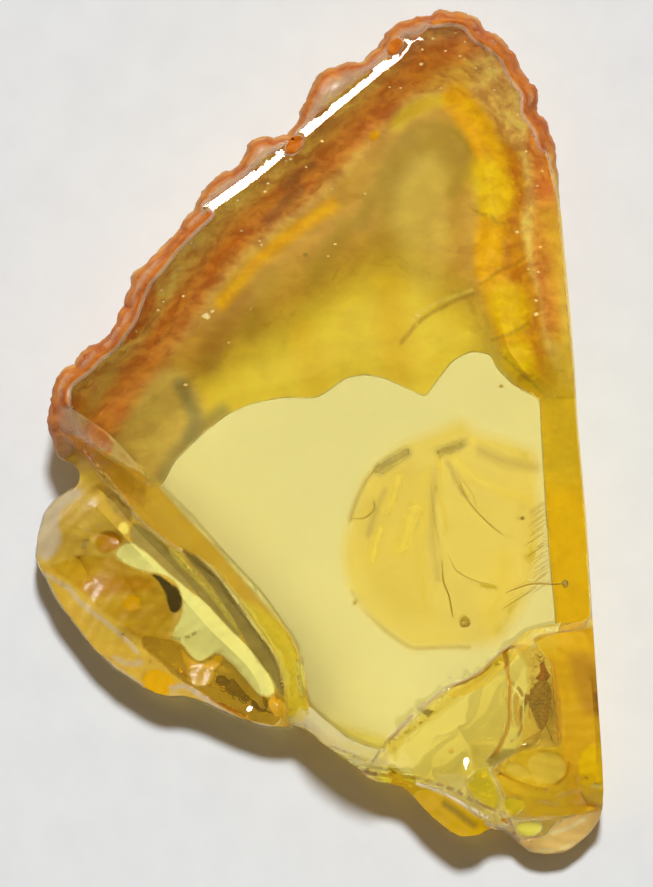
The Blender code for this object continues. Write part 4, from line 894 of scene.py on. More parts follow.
    def guides(self, patches: list[tuple[Patch, np.ndarray]]) -> list[Point]:
        """Put points on both sides of each patch's edge, so that the edge can be sharp.

        Args:
            patches: the patches, each with its dense line.

        Returns:
            The points (x, y).
        """
        found = []
        for patch, line in patches:
            along = np.roll(line, -1, axis=0) - np.roll(line, 1, axis=0)
            if not patch.closed:
                along[0], along[-1] = line[1] - line[0], line[-1] - line[-2]
            across = np.stack([-along[:, 1], along[:, 0]], 1)
            across /= np.linalg.norm(across, axis=1)[:, None] + 1e-9
            half = max(self.guide_gap, patch.soft * 0.5) + patch.width * 0.5
            found += [tuple(p) for side in (-1, 1) for p in line + across * half * side]
            if patch.width > 0.1 or patch.closed:
                found += [tuple(p) for p in line]
        return found

    def free_points(self, ring: list[tuple], rows: list[list[tuple]], guides: list[Point],
                    smooth: tuple[Point, ...]) -> list[Point]:
        """Fill the room between the drawn lines, closely where the surface is rough.

        Args:
            ring: the outline.
            rows: the drawn lines.
            guides: places that should have a point if there is room.
            smooth: a polygon; the surface is polished inside it.

        Returns:
            The points (x, y).
        """
        taken = [p[:2] for p in ring] + [p[:2] for row in rows for p in row]
        box, polished = np.array([p[:2] for p in ring]), np.array(smooth)
        within = inside_of(box, np.array(guides))
        kept = self.spread(taken, [g for g, known in zip(guides, within) if known])
        tree = tree_of(taken + kept)
        low, high = box.min(0), box.max(0)
        found = list(kept)
        for step, wants_rough in ((self.rough_step, True), (self.smooth_step, False)):
            for number, y in enumerate(np.arange(low[1], high[1], step * math.sqrt(3) / 2)):
                xs = np.arange(low[0] + (step / 2 if number % 2 else 0), high[0], step)
                spots = np.column_stack([xs, np.full(len(xs), y)])
                wanted = (inside_of(polished, spots) != wants_rough) & inside_of(box, spots)
                for x in xs[wanted]:
                    wobble = (noise.noise_vector(Vector((x, y, 5.0)) * 3.0) * step
                              * self.grid_wobble)
                    spot = (x + wobble.x, y + wobble.y, 0.0)
                    if tree.find(spot)[2] > step * self.clearance:
                        found.append(spot[:2])
        return found

    def spread(self, taken: list[Point], wanted: list[Point]) -> list[Point]:
        """Choose the wanted points that keep some room from those taken and from each other.

        Args:
            taken: points that are there already.
            wanted: points to choose from, the first ones first.

        Returns:
            The chosen points.
        """
        room = self.guide_room
        cells: dict[tuple[int, int], list[Point]] = {}
        for x, y in taken:
            cells.setdefault((int(x // room), int(y // room)), []).append((x, y))
        kept = []
        for x, y in wanted:
            i, j = int(x // room), int(y // room)
            near = [p for a in (-1, 0, 1) for b in (-1, 0, 1)
                    for p in cells.get((i + a, j + b), ())]
            if all(math.hypot(x - p[0], y - p[1]) >= room for p in near):
                cells.setdefault((i, j), []).append((x, y))
                kept.append((x, y))
        return kept

    def settle(self, sheet: Sheet) -> None:
        """Give the free points heights and skins that run evenly between the drawn lines.

        Args:
            sheet: the sheet, whose points are changed in place.
        """
        free = ~sheet.held
        edges = np.array([(f[i], f[(i + 1) % len(f)]) for f in sheet.faces for i in range(len(f))])
        both = np.vstack([edges, edges[:, ::-1]])
        count = np.bincount(both[:, 0], minlength=len(sheet.points)).astype(float)
        drawn = sheet.points[sheet.held]
        tree = tree_of(drawn)
        for i in np.nonzero(free)[0]:
            near = tree.find_n((sheet.points[i, 0], sheet.points[i, 1], 0.0), 3)
            weights = np.array([1 / (away + 1e-3) for _, _, away in near])
            values = np.array([drawn[number, 2:] for _, number, _ in near])
            sheet.points[i, 2:] = (values * weights[:, None]).sum(0) / weights.sum()
        for _ in range(self.settle_rounds):
            total = np.zeros((len(sheet.points), sheet.points.shape[1] - 2))
            np.add.at(total, both[:, 0], sheet.points[both[:, 1], 2:])
            mean = total / count[:, None]
            sheet.points[free, 2:] = mean[free]


def share_of(line: np.ndarray, patch: Patch, spots: np.ndarray) -> np.ndarray:
    """How much of each spot a patch covers, softened at its edge.

    Args:
        line: the patch's drawn line, dense and rounded.
        patch: the patch.
        spots: the places, rows of x and y.

    Returns:
        One share for each spot, from 0 to 1.
    """
    reach = patch.width / 2 + patch.soft
    near = ((spots > line.min(0) - reach) & (spots < line.max(0) + reach)).all(1)
    place = spots[near]
    nearest = np.full(len(place), 1e9)
    for i in range(len(line) if patch.closed else len(line) - 1):
        a, b = line[i], line[(i + 1) % len(line)]
        run = b - a
        t = np.clip(((place - a) @ run) / (run @ run + 1e-12), 0.0, 1.0)
        away = place - (a + t[:, None] * run)
        nearest = np.minimum(nearest, (away * away).sum(1))
    nearest = np.sqrt(nearest)
    if patch.closed:
        depth = np.where(inside_of(line, place), nearest, -nearest)
    else:
        depth = patch.width / 2 - nearest
    t = np.clip(depth / max(patch.soft, 1e-6) + 0.5, 0.0, 1.0)
    share = np.zeros(len(spots))
    share[near] = t * t * (3 - 2 * t) * patch.strength
    return share


def inside_of(polygon: np.ndarray, spots: np.ndarray) -> np.ndarray:
    """Tell which spots lie inside a polygon.

    Args:
        polygon: its corners, rows of x and y.
        spots: the places, rows of x and y.

    Returns:
        One truth value for each spot.
    """
    inside = np.zeros(len(spots), bool)
    for (ax, ay), (bx, by) in zip(polygon, np.roll(polygon, 1, axis=0)):
        if ay != by:
            level = (ay > spots[:, 1]) != (by > spots[:, 1])
            inside ^= level & (spots[:, 0] < (bx - ax) * (spots[:, 1] - ay) / (by - ay) + ax)
    return inside


def billow(spot: Vector, size: float) -> float:
    """Rounded lumps with sharp valleys between them.

    Args:
        spot: the place, in mm.
        size: about how far apart the lumps are, in mm.

    Returns:
        A height from about -1 to 1.
    """
    return 1.0 - 2.2 * abs(noise.noise(spot / size))


def rind_relief(x: float, y: float, z: float) -> float:
    """Height of the natural rind over its mean surface: lumps, knobs on them, and grit.

    Args:
        x: the place across the slice, in mm.
        y: the place along the slice, in mm.
        z: the place's height, in mm; the lumps are a little longer in this direction.

    Returns:
        A height from about -1 to 1.
    """
    spot = Vector((x, y, z * 0.7))
    knobs = billow(spot + Vector((7.0, 3.0, 1.0)), KNOB_SIZE)
    return 0.55 * billow(spot, LUMP_SIZE) + 0.3 * knobs + 0.2 * noise.noise(spot / GRIT_SIZE)


def turns_left(points: np.ndarray, face: tuple[int, ...]) -> bool:
    """Tell whether a face runs anticlockwise seen from above.

    Args:
        points: rows that start with x and y.
        face: numbers of its corners.

    Returns:
        Whether it does.
    """
    a, b, c = (points[i] for i in face[:3])
    return (b[0] - a[0]) * (c[1] - a[1]) - (b[1] - a[1]) * (c[0] - a[0]) > 0


@dataclass
class AmberMesh:
    """Builds the slice's closed surface with its lumps, ripples and skins.

    Broken faces carry rings of ripples, as shell-shaped breaks do, round the place where each
    break began.
    """

    form: AmberForm = field(default_factory=AmberForm)
    rind_height: float = 0.17
    ripple_height: float = 0.012
    ripple_length: float = 0.42
    ripple_left: Point = (-1.5, -9.5)
    ripple_right: Point = (8.2, -7.0)
    polished_rough: float = 0.02
    rough_range: float = 0.04
    break_height: float = 0.03
    break_size: float = 0.55
    wall_bulge: float = 0.15
    sharp_deg: float = 32.0

    def build(self) -> bpy.types.Object:
        """Build the slice.

        Returns:
            One object with the attributes skin_colour, skin_cover, skin_rough and skin_mottle.
        """
        outline, middle = self.form.outline()
        skins = tuple(range(5, outline.shape[1]))
        upper = self.side(outline, (0, 1, 2, *skins), UPPER_LINES, True, middle)
        lower = self.side(outline, (0, 1, 3, *skins), LOWER_LINES + fan_lines(), False, middle)
        points = [upper.points, lower.points]
        shift = len(upper.points)
        faces = [tuple(f) if turns_left(upper.points, f) else tuple(reversed(f))
                 for f in upper.faces]
        faces += [tuple(shift + i for i in (reversed(f) if turns_left(lower.points, f) else f))
                  for f in lower.faces]
        rows = [upper.ring]
        start = shift + len(lower.points)
        for k in range(1, self.form.wall_rows):
            points.append(self.wall_row(outline, k / self.form.wall_rows, upper, lower))
            rows.append(list(range(start, start + len(outline))))
            start += len(outline)
        rows.append([shift + i for i in lower.ring])
        for above, below in zip(rows, rows[1:]):
            for i in range(len(outline)):
                j = (i + 1) % len(outline)
                faces.append((above[i], above[j], below[j], below[i]))
        return self.as_object(np.vstack(points), faces)

    def side(self, outline: np.ndarray, columns: tuple[int, ...], lines: tuple[Line, ...],
             top: bool, middle: Point) -> Sheet:
        """Triangulate one side, settle it, paint its patches and raise its lumps and ripples.

        Args:
            outline: rows of x, y, upper edge, lower edge, bump and the skin values.
            columns: the columns of the outline that this side uses.
            lines: its drawn lines.
            top: whether it is the upper side.
            middle: the middle of the outline's box.

        Returns:
            The finished sheet.
        """
        ring = [tuple(row) for row in outline[:, columns]]
        rows = self.form.drawn_rows(lines, middle)
        patches = [(p, self.form.patch_line(p, middle))
                   for p in (UPPER_PATCHES if top else LOWER_PATCHES)]
        smooth = TOP_FACE_EDGE if top else GROUND_LINE + GROUND_EDGE[1:]
        polished = tuple((x - middle[0], y - middle[1]) for x, y in smooth)
        free = self.form.free_points(ring, rows, self.form.guides(patches), polished)
        sheet = self.form.triangulate(ring, rows, free)
        self.form.settle(sheet)
        points = sheet.points
        for patch, line in patches:
            share = share_of(line, patch, points[:, :2])
            points[:, 2] += patch.lift * share
            points[:, 3:] += (np.array(patch.skin.values()) - points[:, 3:]) * share[:, None]
        for p in points:
            x, y, z, cover, rough, mottle = p[0], p[1], p[2], p[6], p[7], p[8]
            lift = mottle * cover * self.rind_height * rind_relief(x, y, z)
            if top:
                p[2] = z + (lift + self.break_relief(x, y, rough))
            else:
                p[2] = max(z - lift, 0.0)
        return sheet

    def break_relief(self, x: float, y: float, rough: float) -> float:
        """Height of a broken face's ripples and unevenness; a polished face has none.

        Args:
            x: the place across the slice, in mm.
            y: the place along the slice, in mm.
            rough: the skin's roughness there.

        Returns:
            The height in mm.
        """
        share = (rough - self.polished_rough) / self.rough_range
        start = self.ripple_right if x > 0 else self.ripple_left
        reach = math.hypot(x - start[0], y - start[1])
        wander = 3.0 * noise.noise(Vector((x, y, 9.0)) * 0.8)
        ripple = math.sin(2 * math.pi * reach / self.ripple_length + wander)
        uneven = noise.noise(Vector((x, y, 2.0)) / self.break_size)
        return min(1.0, max(0.0, share)) * (self.ripple_height * ripple
                                            + self.break_height * uneven)

    def wall_row(self, outline: np.ndarray, share: float, upper: Sheet,
                 lower: Sheet) -> np.ndarray:
        """Make one row of the side wall, which bulges where it is rind.

        Args:
            outline: rows of x, y, upper edge, lower edge, bump and the skin values.
            share: how far down it is from the upper to the lower edge, from 0 to 1.
            upper: the upper side.
            lower: the lower side.

        Returns:
            Rows of x, y, height and skin values.
        """
        high, low = upper.points[upper.ring], lower.points[lower.ring]
        row = high + (low - high) * share
        outward = outward_of(outline)
        for i, (x, y, z) in enumerate(row[:, :3].copy()):
            out = outline[i, 4] * self.wall_bulge * (math.sin(math.pi * share)
                                                     * (0.9 + 0.9 * rind_relief(x, y, z)))
            row[i, :2] += outward[i] * out
        return row

    def as_object(self, rows: np.ndarray, faces: list[tuple[int, ...]]) -> bpy.types.Object:
        """Make the mesh object in metres and give its points the four skin attributes.

        Args:
            rows: x, y, height and skin values of each point.
            faces: numbers of each face's corners.

        Returns:
            The object, linked to the scene.
        """
        mesh = bpy.data.meshes.new("amber")
        mesh.from_pydata([tuple(r) for r in rows[:, :3] * MM], [], faces)
        mesh.validate()
        colour = mesh.attributes.new("skin_colour", "FLOAT_COLOR", "POINT")
        full = np.hstack([rows[:, 3:6], np.ones((len(rows), 1))])
        colour.data.foreach_set("color", full.astype(np.float32).ravel())
        for column, name in enumerate(("skin_cover", "skin_rough", "skin_mottle"), 6):
            layer = mesh.attributes.new(name, "FLOAT", "POINT")
            layer.data.foreach_set("value", rows[:, column].astype(np.float32))
        made = finished(mesh, split=True)
        mesh.set_sharp_from_angle(angle=math.radians(self.sharp_deg))
        return made


def finished(mesh: bpy.types.Mesh, split: bool = False) -> bpy.types.Object:
    """Turn a mesh's faces outwards, shade it smooth and link it to the scene.

    Args:
        mesh: a mesh of closed bodies.
        split: whether its faces are split into triangles.

    Returns:
        The object, named as the mesh is.
    """
    work = bmesh.new()
    work.from_mesh(mesh)
    if split:
        bmesh.ops.triangulate(work, faces=[f for f in work.faces if len(f.verts) > 3])
    bmesh.ops.recalc_face_normals(work, faces=work.faces)
    work.to_mesh(mesh)
    work.free()
    mesh.shade_smooth()
    made = bpy.data.objects.new(mesh.name, mesh)
    bpy.context.scene.collection.objects.link(made)
    return made


# ---- finishes -----------------------------------------------------------------------------------

FACTOR, FIRST, SECOND = 0, 6, 7  # input sockets of a Mix node that mixes colours
MIXED = 2  # its output socket
WHITE = (1.0, 1.0, 1.0, 1.0)


def mixed(tree: bpy.types.NodeTree, settings: dict, links: dict) -> bpy.types.NodeSocket:
    """Mix two colours.

    Args:
        tree: the node tree.
        settings: settings of the Mix node, as add_node takes them.
        links: its links, as add_node takes them.

    Returns:
        The socket of the mixed colour.
    """
    return add_node(tree, "ShaderNodeMix", {"data_type": "RGBA", **settings}, links).outputs[MIXED]


def textured(tree: bpy.types.NodeTree, place: bpy.types.NodeSocket, size_mm: float,
             **settings: float) -> bpy.types.NodeSocket:
    """Add a noise texture.

    Args:
        tree: the node tree.
        place: the socket that gives the place in the object.
        size_mm: about the size of the texture's lumps, in mm.
        settings: values of the texture's other sockets.

    Returns:
        The socket of the texture's value, from 0 to 1.
    """
    return add_node(tree, "ShaderNodeTexNoise", {"Scale": 1 / (size_mm * MM), **settings},
                    {"Vector": place}).outputs["Fac"]


def plain_material(name: str) -> tuple[bpy.types.Material, bpy.types.Node, bpy.types.NodeSocket]:
    """Start a material.

    Args:
        name: its name.

    Returns:
        The material, its shader, and the socket that gives the place in the object.
    """
    mat = bpy.data.materials.new(name)
    mat.use_nodes = True
    place = add_node(mat.node_tree, "ShaderNodeTexCoord").outputs["Object"]
    return mat, mat.node_tree.nodes["Principled BSDF"], place


@dataclass(frozen=True)
class FossilResin:
    """Fossil resin (amber), ground and polished, with its weathered rind left in places.

    Clear resin of IOR 1.54 takes out blue light over a few millimetres, so thin parts look lemon
    yellow and long paths look deep gold. The rind is oxidised, rough and red-brown: lumps with
    dark valleys, stretched along a grain, with fine pits between them.
    """

    ior: float = 1.54
    depth_tint: tuple[float, float, float] = (0.975, 0.92, 0.0)
    density_per_m: float = 58.0
    lump_mm: float = 0.45
    lump_range: tuple[float, float] = (0.36, 0.64)
    grain_deg: float = 40.0
    grain_stretch: tuple[float, float, float] = (0.6, 1.0, 1.0)
    dark_share: tuple[float, float, float] = (0.74, 0.50, 0.38)
    light_share: tuple[float, float, float] = (1.08, 1.10, 0.80)
    wisp_mm: float = 1.7
    wisp_range: tuple[float, float] = (0.3, 0.7)
    wisp_share: tuple[float, float] = (0.92, 1.06)
    pit_mm: float = 0.2
    pit_depth_mm: float = 0.06
    pit_strength: float = 0.5
    clear_shine: float = 0.5
    rind_shine: float = 0.12

    def make(self) -> bpy.types.Material:
        """Build the material.

        Returns:
            The material, which reads the skin attributes of the slice.
        """
        mat, shader, place = plain_material("polished_amber")
        tree = mat.node_tree
        skin = {name: add_node(tree, "ShaderNodeAttribute", {"attribute_name": "skin_" + name})
                for name in ("colour", "cover", "rough", "mottle")}
        cover, mottle = skin["cover"].outputs["Fac"], skin["mottle"].outputs["Fac"]
        uneven = mixed(tree, {"blend_type": "MULTIPLY", FACTOR: 1.0},
                       {FIRST: self.wisps(tree, place, cover),
                        SECOND: self.lumps(tree, place, mottle)})
        colour = mixed(tree, {"blend_type": "MULTIPLY", FACTOR: 1.0, "clamp_result": True},
                       {FIRST: skin["colour"].outputs["Color"], SECOND: uneven})
        clear = add_node(tree, "ShaderNodeMath", {"operation": "SUBTRACT", "use_clamp": True,
                                                  0: 1.0}, {1: cover})
        shine = add_node(tree, "ShaderNodeMapRange",
                         {"To Min": self.clear_shine, "To Max": self.rind_shine},
                         {"Value": cover})
        pits = add_node(tree, "ShaderNodeMath", {"operation": "MULTIPLY"},
                        {0: textured(tree, place, self.pit_mm, Detail=3.0), 1: mottle})
        bump = add_node(tree, "ShaderNodeBump", {"Strength": self.pit_strength,
                                                 "Distance": self.pit_depth_mm * MM},
                        {"Height": pits.outputs[0]})
        absorb = add_node(tree, "ShaderNodeVolumeAbsorption",
                          {"Color": (*self.depth_tint, 1.0), "Density": self.density_per_m})
        for name, source in (("Base Color", colour),
                             ("Transmission Weight", clear.outputs[0]),
                             ("Roughness", skin["rough"].outputs["Fac"]),
                             ("Specular IOR Level", shine.outputs["Result"]),
                             ("Normal", bump.outputs["Normal"])):
            tree.links.new(source, shader.inputs[name])
        shader.inputs["IOR"].default_value = self.ior
        tree.links.new(absorb.outputs[0], tree.nodes["Material Output"].inputs["Volume"])
        return mat

    def lumps(self, tree: bpy.types.NodeTree, place: bpy.types.NodeSocket,
              mottle: bpy.types.NodeSocket) -> bpy.types.NodeSocket:
        """Darken the valleys between the rind's lumps.

        Args:
            tree: the node tree.
            place: the socket that gives the place in the object.
            mottle: the socket that gives how mottled the skin is.

        Returns:
            The socket of the shares of red, green and blue that stay.
        """
        along_grain = add_node(tree, "ShaderNodeMapping",
                               {"Rotation": (0.0, 0.0, math.radians(-self.grain_deg)),
                                "Scale": self.grain_stretch}, {"Vector": place})
        lumps = textured(tree, along_grain.outputs["Vector"], self.lump_mm, Detail=4.0,
                         Roughness=0.55, Distortion=0.4)
        heights = add_node(tree, "ShaderNodeMapRange",
                           {"From Min": self.lump_range[0], "From Max": self.lump_range[1]},
                           {"Value": lumps})
        shade = mixed(tree, {FIRST: (*self.dark_share, 1.0), SECOND: (*self.light_share, 1.0)},
                      {FACTOR: heights.outputs["Result"]})
        return mixed(tree, {FIRST: WHITE}, {FACTOR: mottle, SECOND: shade})

    def wisps(self, tree: bpy.types.NodeTree, place: bpy.types.NodeSocket,
              cover: bpy.types.NodeSocket) -> bpy.types.NodeSocket:
        """Cloud the covered places with wide, faint wisps.

        Args:
            tree: the node tree.
            place: the socket that gives the place in the object.
            cover: the socket that gives how covered the stone is.

        Returns:
            The socket of the share of the light that stays.
        """
        wisps = textured(tree, place, self.wisp_mm, Detail=3.0, Distortion=0.8)
        haze = add_node(tree, "ShaderNodeMapRange",
                        {"From Min": self.wisp_range[0], "From Max": self.wisp_range[1],
                         "To Min": self.wisp_share[0], "To Max": self.wisp_share[1]},
                        {"Value": wisps})
        return mixed(tree, {FIRST: WHITE}, {FACTOR: cover, SECOND: haze.outputs["Result"]})


def mottled(mat: bpy.types.Material, shader: bpy.types.Node, texture: bpy.types.NodeSocket,
            colours: tuple[str, str], span: tuple[float, float] = (0.0, 1.0)) -> None:
    """Colour a material by a texture.

    Args:
        mat: the material.
        shader: its shader.
        texture: the socket of the texture's value.
        colours: sRGB hex of the colours at the low and the high end.
        span: the texture's values at the two ends.
    """
    ramp = add_node(mat.node_tree, "ShaderNodeValToRGB", None, {"Fac": texture})
    for stop, colour, value in zip(ramp.color_ramp.elements, colours, span):
        stop.color = linear(colour)
        stop.position = value
    mat.node_tree.links.new(ramp.outputs["Color"], shader.inputs["Base Color"])


@dataclass(frozen=True)
class PaperGround:
    """Matte white card, faintly mottled, on which the slice lies."""

    colours: tuple[str, str] = ("#E8E8E8", "#F2F2F1")
    grain_mm: float = 1 / 0.7
    rough: float = 0.9
    shine: float = 0.2

    def make(self) -> bpy.types.Material:
        """Build the material.

        Returns:
            The material.
        """
        mat, shader, place = plain_material("white_card")
        mottled(mat, shader, textured(mat.node_tree, place, self.grain_mm, Detail=3.0),
                self.colours)
        shader.inputs["Roughness"].default_value = self.rough
        shader.inputs["Specular IOR Level"].default_value = self.shine
        return mat


@dataclass(frozen=True)
class Shell:
    """A sealed thing's skin: chitin, membrane, fibre, or a bright flake of painted glint."""

    name: str
    dark: str
    light: str
    rough: float
    grain_mm: float
    span: tuple[float, float] = (0.35, 0.65)
    ior: float = 1.56

    def make(self) -> bpy.types.Material:
        """Build the material, mottled between its two colours; it is made once only.

        Returns:
            The material.
        """
        if self.name in bpy.data.materials:
            return bpy.data.materials[self.name]
        mat, shader, place = plain_material(self.name)
        mottled(mat, shader, textured(mat.node_tree, place, self.grain_mm, Detail=4.0),
                (self.dark, self.light), self.span)
        shader.inputs["Roughness"].default_value = self.rough
        shader.inputs["IOR"].default_value = self.ior
        return mat


class Look(Enum):
    """Finishes of the things sealed in the amber."""

    CHITIN = 0
    HEAD = 1
    WING = 2
    PALE = 3
    FIBRE = 4
    GLINT_FLAKE = 5
    DARK = 6


SEALED = {
    Look.CHITIN: Shell("brown_chitin", "#6E4A2C", "#A8884E", 0.45, 0.12),
    Look.HEAD: Shell("red_brown_chitin", "#7A2C10", "#B0602C", 0.4, 0.1),
    Look.WING: Shell("grey_wing", "#B8A078", "#DCC898", 0.45, 0.18),
    # painted highlight on the smaller insect's abdomen
    Look.PALE: Shell("chitin_painted_highlight", "#A8A25C", "#DCD690", 0.4, 0.1),
    Look.FIBRE: Shell("brown_fibre", "#B49A48", "#D0B65C", 0.55, 0.1),
    Look.DARK: Shell("dark_chitin", "#2E1C10", "#5C4226", 0.4, 0.1),
    # painted glints: bright flakes
    Look.GLINT_FLAKE: Shell("painted_glint_flake", "#FFE07A", "#FFFBD8", 0.2, 0.05),
}


# ---- insects, threads and glint flakes ----------------------------------------------------------


@dataclass
class Parts:
    """Collects rounded bodies, tubes and flakes, and joins them in one mesh. Sizes are in mm."""

    points: list[Vector] = field(default_factory=list)
    faces: list[tuple[int, ...]] = field(default_factory=list)
    looks: list[int] = field(default_factory=list)
    tube_steps: int = 6
    tube_swell: float = 0.18
    flake_sides: int = 10
    flake_tilt: float = 0.7
    flake_rows: tuple[Point, ...] = ((0.006, 0.1), (0.008, 0.8), (0.0, 1.0), (-0.008, 0.8),
                                     (-0.006, 0.1))

    def rings(self, rings: list[list[Vector]], look: Look) -> None:
        """Join rings of points with faces and close both ends.

        Args:
            rings: the rings, each with as many points.
            look: the finish of the faces.
        """
        first = len(self.points)
        count = len(rings[0])
        made = []
        for ring in rings:
            self.points += ring
        for r in range(len(rings) - 1):
            for i in range(count):
                j = (i + 1) % count
                a, b = first + r * count, first + (r + 1) * count
                made.append((a + i, a + j, b + j, b + i))
        made.append(tuple(first + i for i in reversed(range(count))))
        made.append(tuple(first + (len(rings) - 1) * count + i for i in range(count)))
        self.faces += made
        self.looks += [look.value] * len(made)

    def body(self, at: Matrix, rows: Rows, look: Look, sides: int = 24,
             grain: float = 0.012) -> None:
        """Add a body lofted along its X axis.

        Args:
            at: where it sits.
            rows: place along the axis, half width, half height and height of the middle.
            look: its finish.
            sides: points around it.
            grain: size of the uneven relief.
        """
        rings = []
        for x, wide, high, lift in rows:
            ring = []
            for i in range(sides):
                turn = 2 * math.pi * i / sides
                spot = Vector((x, wide * math.cos(turn), lift + high * math.sin(turn)))
                spot *= 1.0 + grain * noise.noise(spot * 9.0) / max(spot.length, 0.2)
                ring.append(at @ spot)
            rings.append(ring)
        self.rings(rings, look)

    def tube(self, line: tuple[Spot, ...], radii: tuple[float, ...], look: Look,
             sides: int = 8) -> None:
        """Add a tube through the given places, rounded between them.

        Args:
            line: the places.
            radii: the tube's radius at each of them.
            look: its finish.
            sides: points around it.
        """
        dense = []
        for i in range(len(line) - 1):
            before = Vector(line[max(i - 1, 0)])
            a, b = Vector(line[i]), Vector(line[i + 1])
            after = Vector(line[min(i + 2, len(line) - 1)])
            for k in range(self.tube_steps):
                t = k / self.tube_steps
                spot = 0.5 * ((2 * a) + (b - before) * t + (2 * before - 5 * a + 4 * b - after)
                              * t * t + (3 * a - before - 3 * b + after) * t ** 3)
                dense.append((spot, radii[i] + (radii[i + 1] - radii[i]) * t))
        dense.append((Vector(line[-1]), radii[-1]))
        rings = []
        for i, (spot, radius) in enumerate(dense):
            along = (dense[min(i + 1, len(dense) - 1)][0] - dense[max(i - 1, 0)][0]).normalized()
            side = along.cross(Vector((0.0, 0.0, 1.0)))
            side = side.normalized() if side.length > 1e-4 else Vector((1.0, 0.0, 0.0))
            up = side.cross(along)
            swell = 1.0 + self.tube_swell * noise.noise(spot * 6.0)
            rings.append([spot + (side * math.cos(2 * math.pi * k / sides)
                                  + up * math.sin(2 * math.pi * k / sides)) * radius * swell
                          for k in range(sides)])
        self.rings(rings, look)

    def ball(self, centre: Spot, sizes: Spot, turn: float, look: Look) -> None:
        """Add a small uneven egg shape.

        Args:
            centre: its middle.
            sizes: its three radii.
            turn: how far it is turned about Z, in radians.
            look: its finish.
        """
        rows = []
        for i in range(9):
            share = math.pi * i / 8
            reach = max(math.sin(share), 0.02)
            rows.append((-math.cos(share) * sizes[0], reach * sizes[1], reach * sizes[2], 0.0))
        at = Matrix.Translation(Vector(centre)) @ Matrix.Rotation(turn, 4, "Z")
        self.body(at, tuple(rows), look, 12, 0.05)

    def flake(self, centre: Spot, size: float, seed: int) -> None:
        """Add a thin uneven disc, tilted a little and bright: a painted glint.

        Args:
            centre: its middle.
            size: its radius.
            seed: a number of its own, which gives its tilt and its edge.
        """
        turn = noise.noise_vector(Vector((seed * 1.7, 4.0, 2.0)))
        at = (Matrix.Translation(Vector(centre))
              @ Matrix.Rotation(turn.x * self.flake_tilt, 4, "X")
              @ Matrix.Rotation(turn.y * self.flake_tilt, 4, "Y"))
        rings = []
        for z, reach in self.flake_rows:
            ring = []
            for i in range(self.flake_sides):
                angle = 2 * math.pi * i / self.flake_sides
                wave = 1.0 + 0.6 * noise.noise(Vector((math.cos(angle) * 2, math.sin(angle) * 2,
                                                       seed * 3.1)))
                ring.append(at @ Vector((math.cos(angle) * reach * size * wave,
                                         math.sin(angle) * reach * size * wave * 0.7, z)))
            rings.append(ring)
        self.rings(rings, Look.GLINT_FLAKE)

    def as_object(self, name: str) -> bpy.types.Object:
        """Make the object in metres, with one material for each finish that it uses.

        Args:
            name: the object's name.

        Returns:
            The object, linked to the scene.
        """
        mesh = bpy.data.meshes.new(name)
        mesh.from_pydata([tuple(p * MM) for p in self.points], [], self.faces)
        used = sorted(set(self.looks))
        for look in used:
            mesh.materials.append(SEALED[Look(look)].make())
        mesh.polygons.foreach_set("material_index", [used.index(v) for v in self.looks])
        return finished(mesh)


RING_STEP = 0.02  # how far apart the rows of a ringed body are, in mm
WAIST_SHARPNESS = 7


def segmented(rows: Rows, start: float, pitch: float, depth: float) -> Rows:
    """Add the rings of an abdomen to a body, each with a narrow waist.

    Args:
        rows: the body's rows, as Parts.body takes them.
        start: the place along the body where the rings start.
        pitch: the length of one ring.
        depth: the share by which the body narrows at a waist.

    Returns:
        Closer rows.
    """
    table = np.array(rows)
    found = []
    for x in np.arange(rows[0][0], rows[-1][0] + 1e-6, RING_STEP):
        wide, high, lift = (float(np.interp(x, table[:, 0], table[:, c])) for c in (1, 2, 3))
        if x > start:
            phase = ((x - start) / pitch) % 1.0
            pinch = 1.0 - depth * math.exp(-((phase - 0.5) * WAIST_SHARPNESS) ** 2)
            wide, high = wide * pinch, high * pinch
        found.append((float(x), wide, high, lift))
    return tuple(found)


def placed(at: Matrix, line: tuple[Spot, ...]) -> tuple[Spot, ...]:
    """Bring places on an insect into the frame of the slice.

    Args:
        at: where the insect sits.
        line: the places in the insect's own frame.

    Returns:
        The places in the frame of the slice.
    """
    return tuple(tuple(at @ Vector(p)) for p in line)


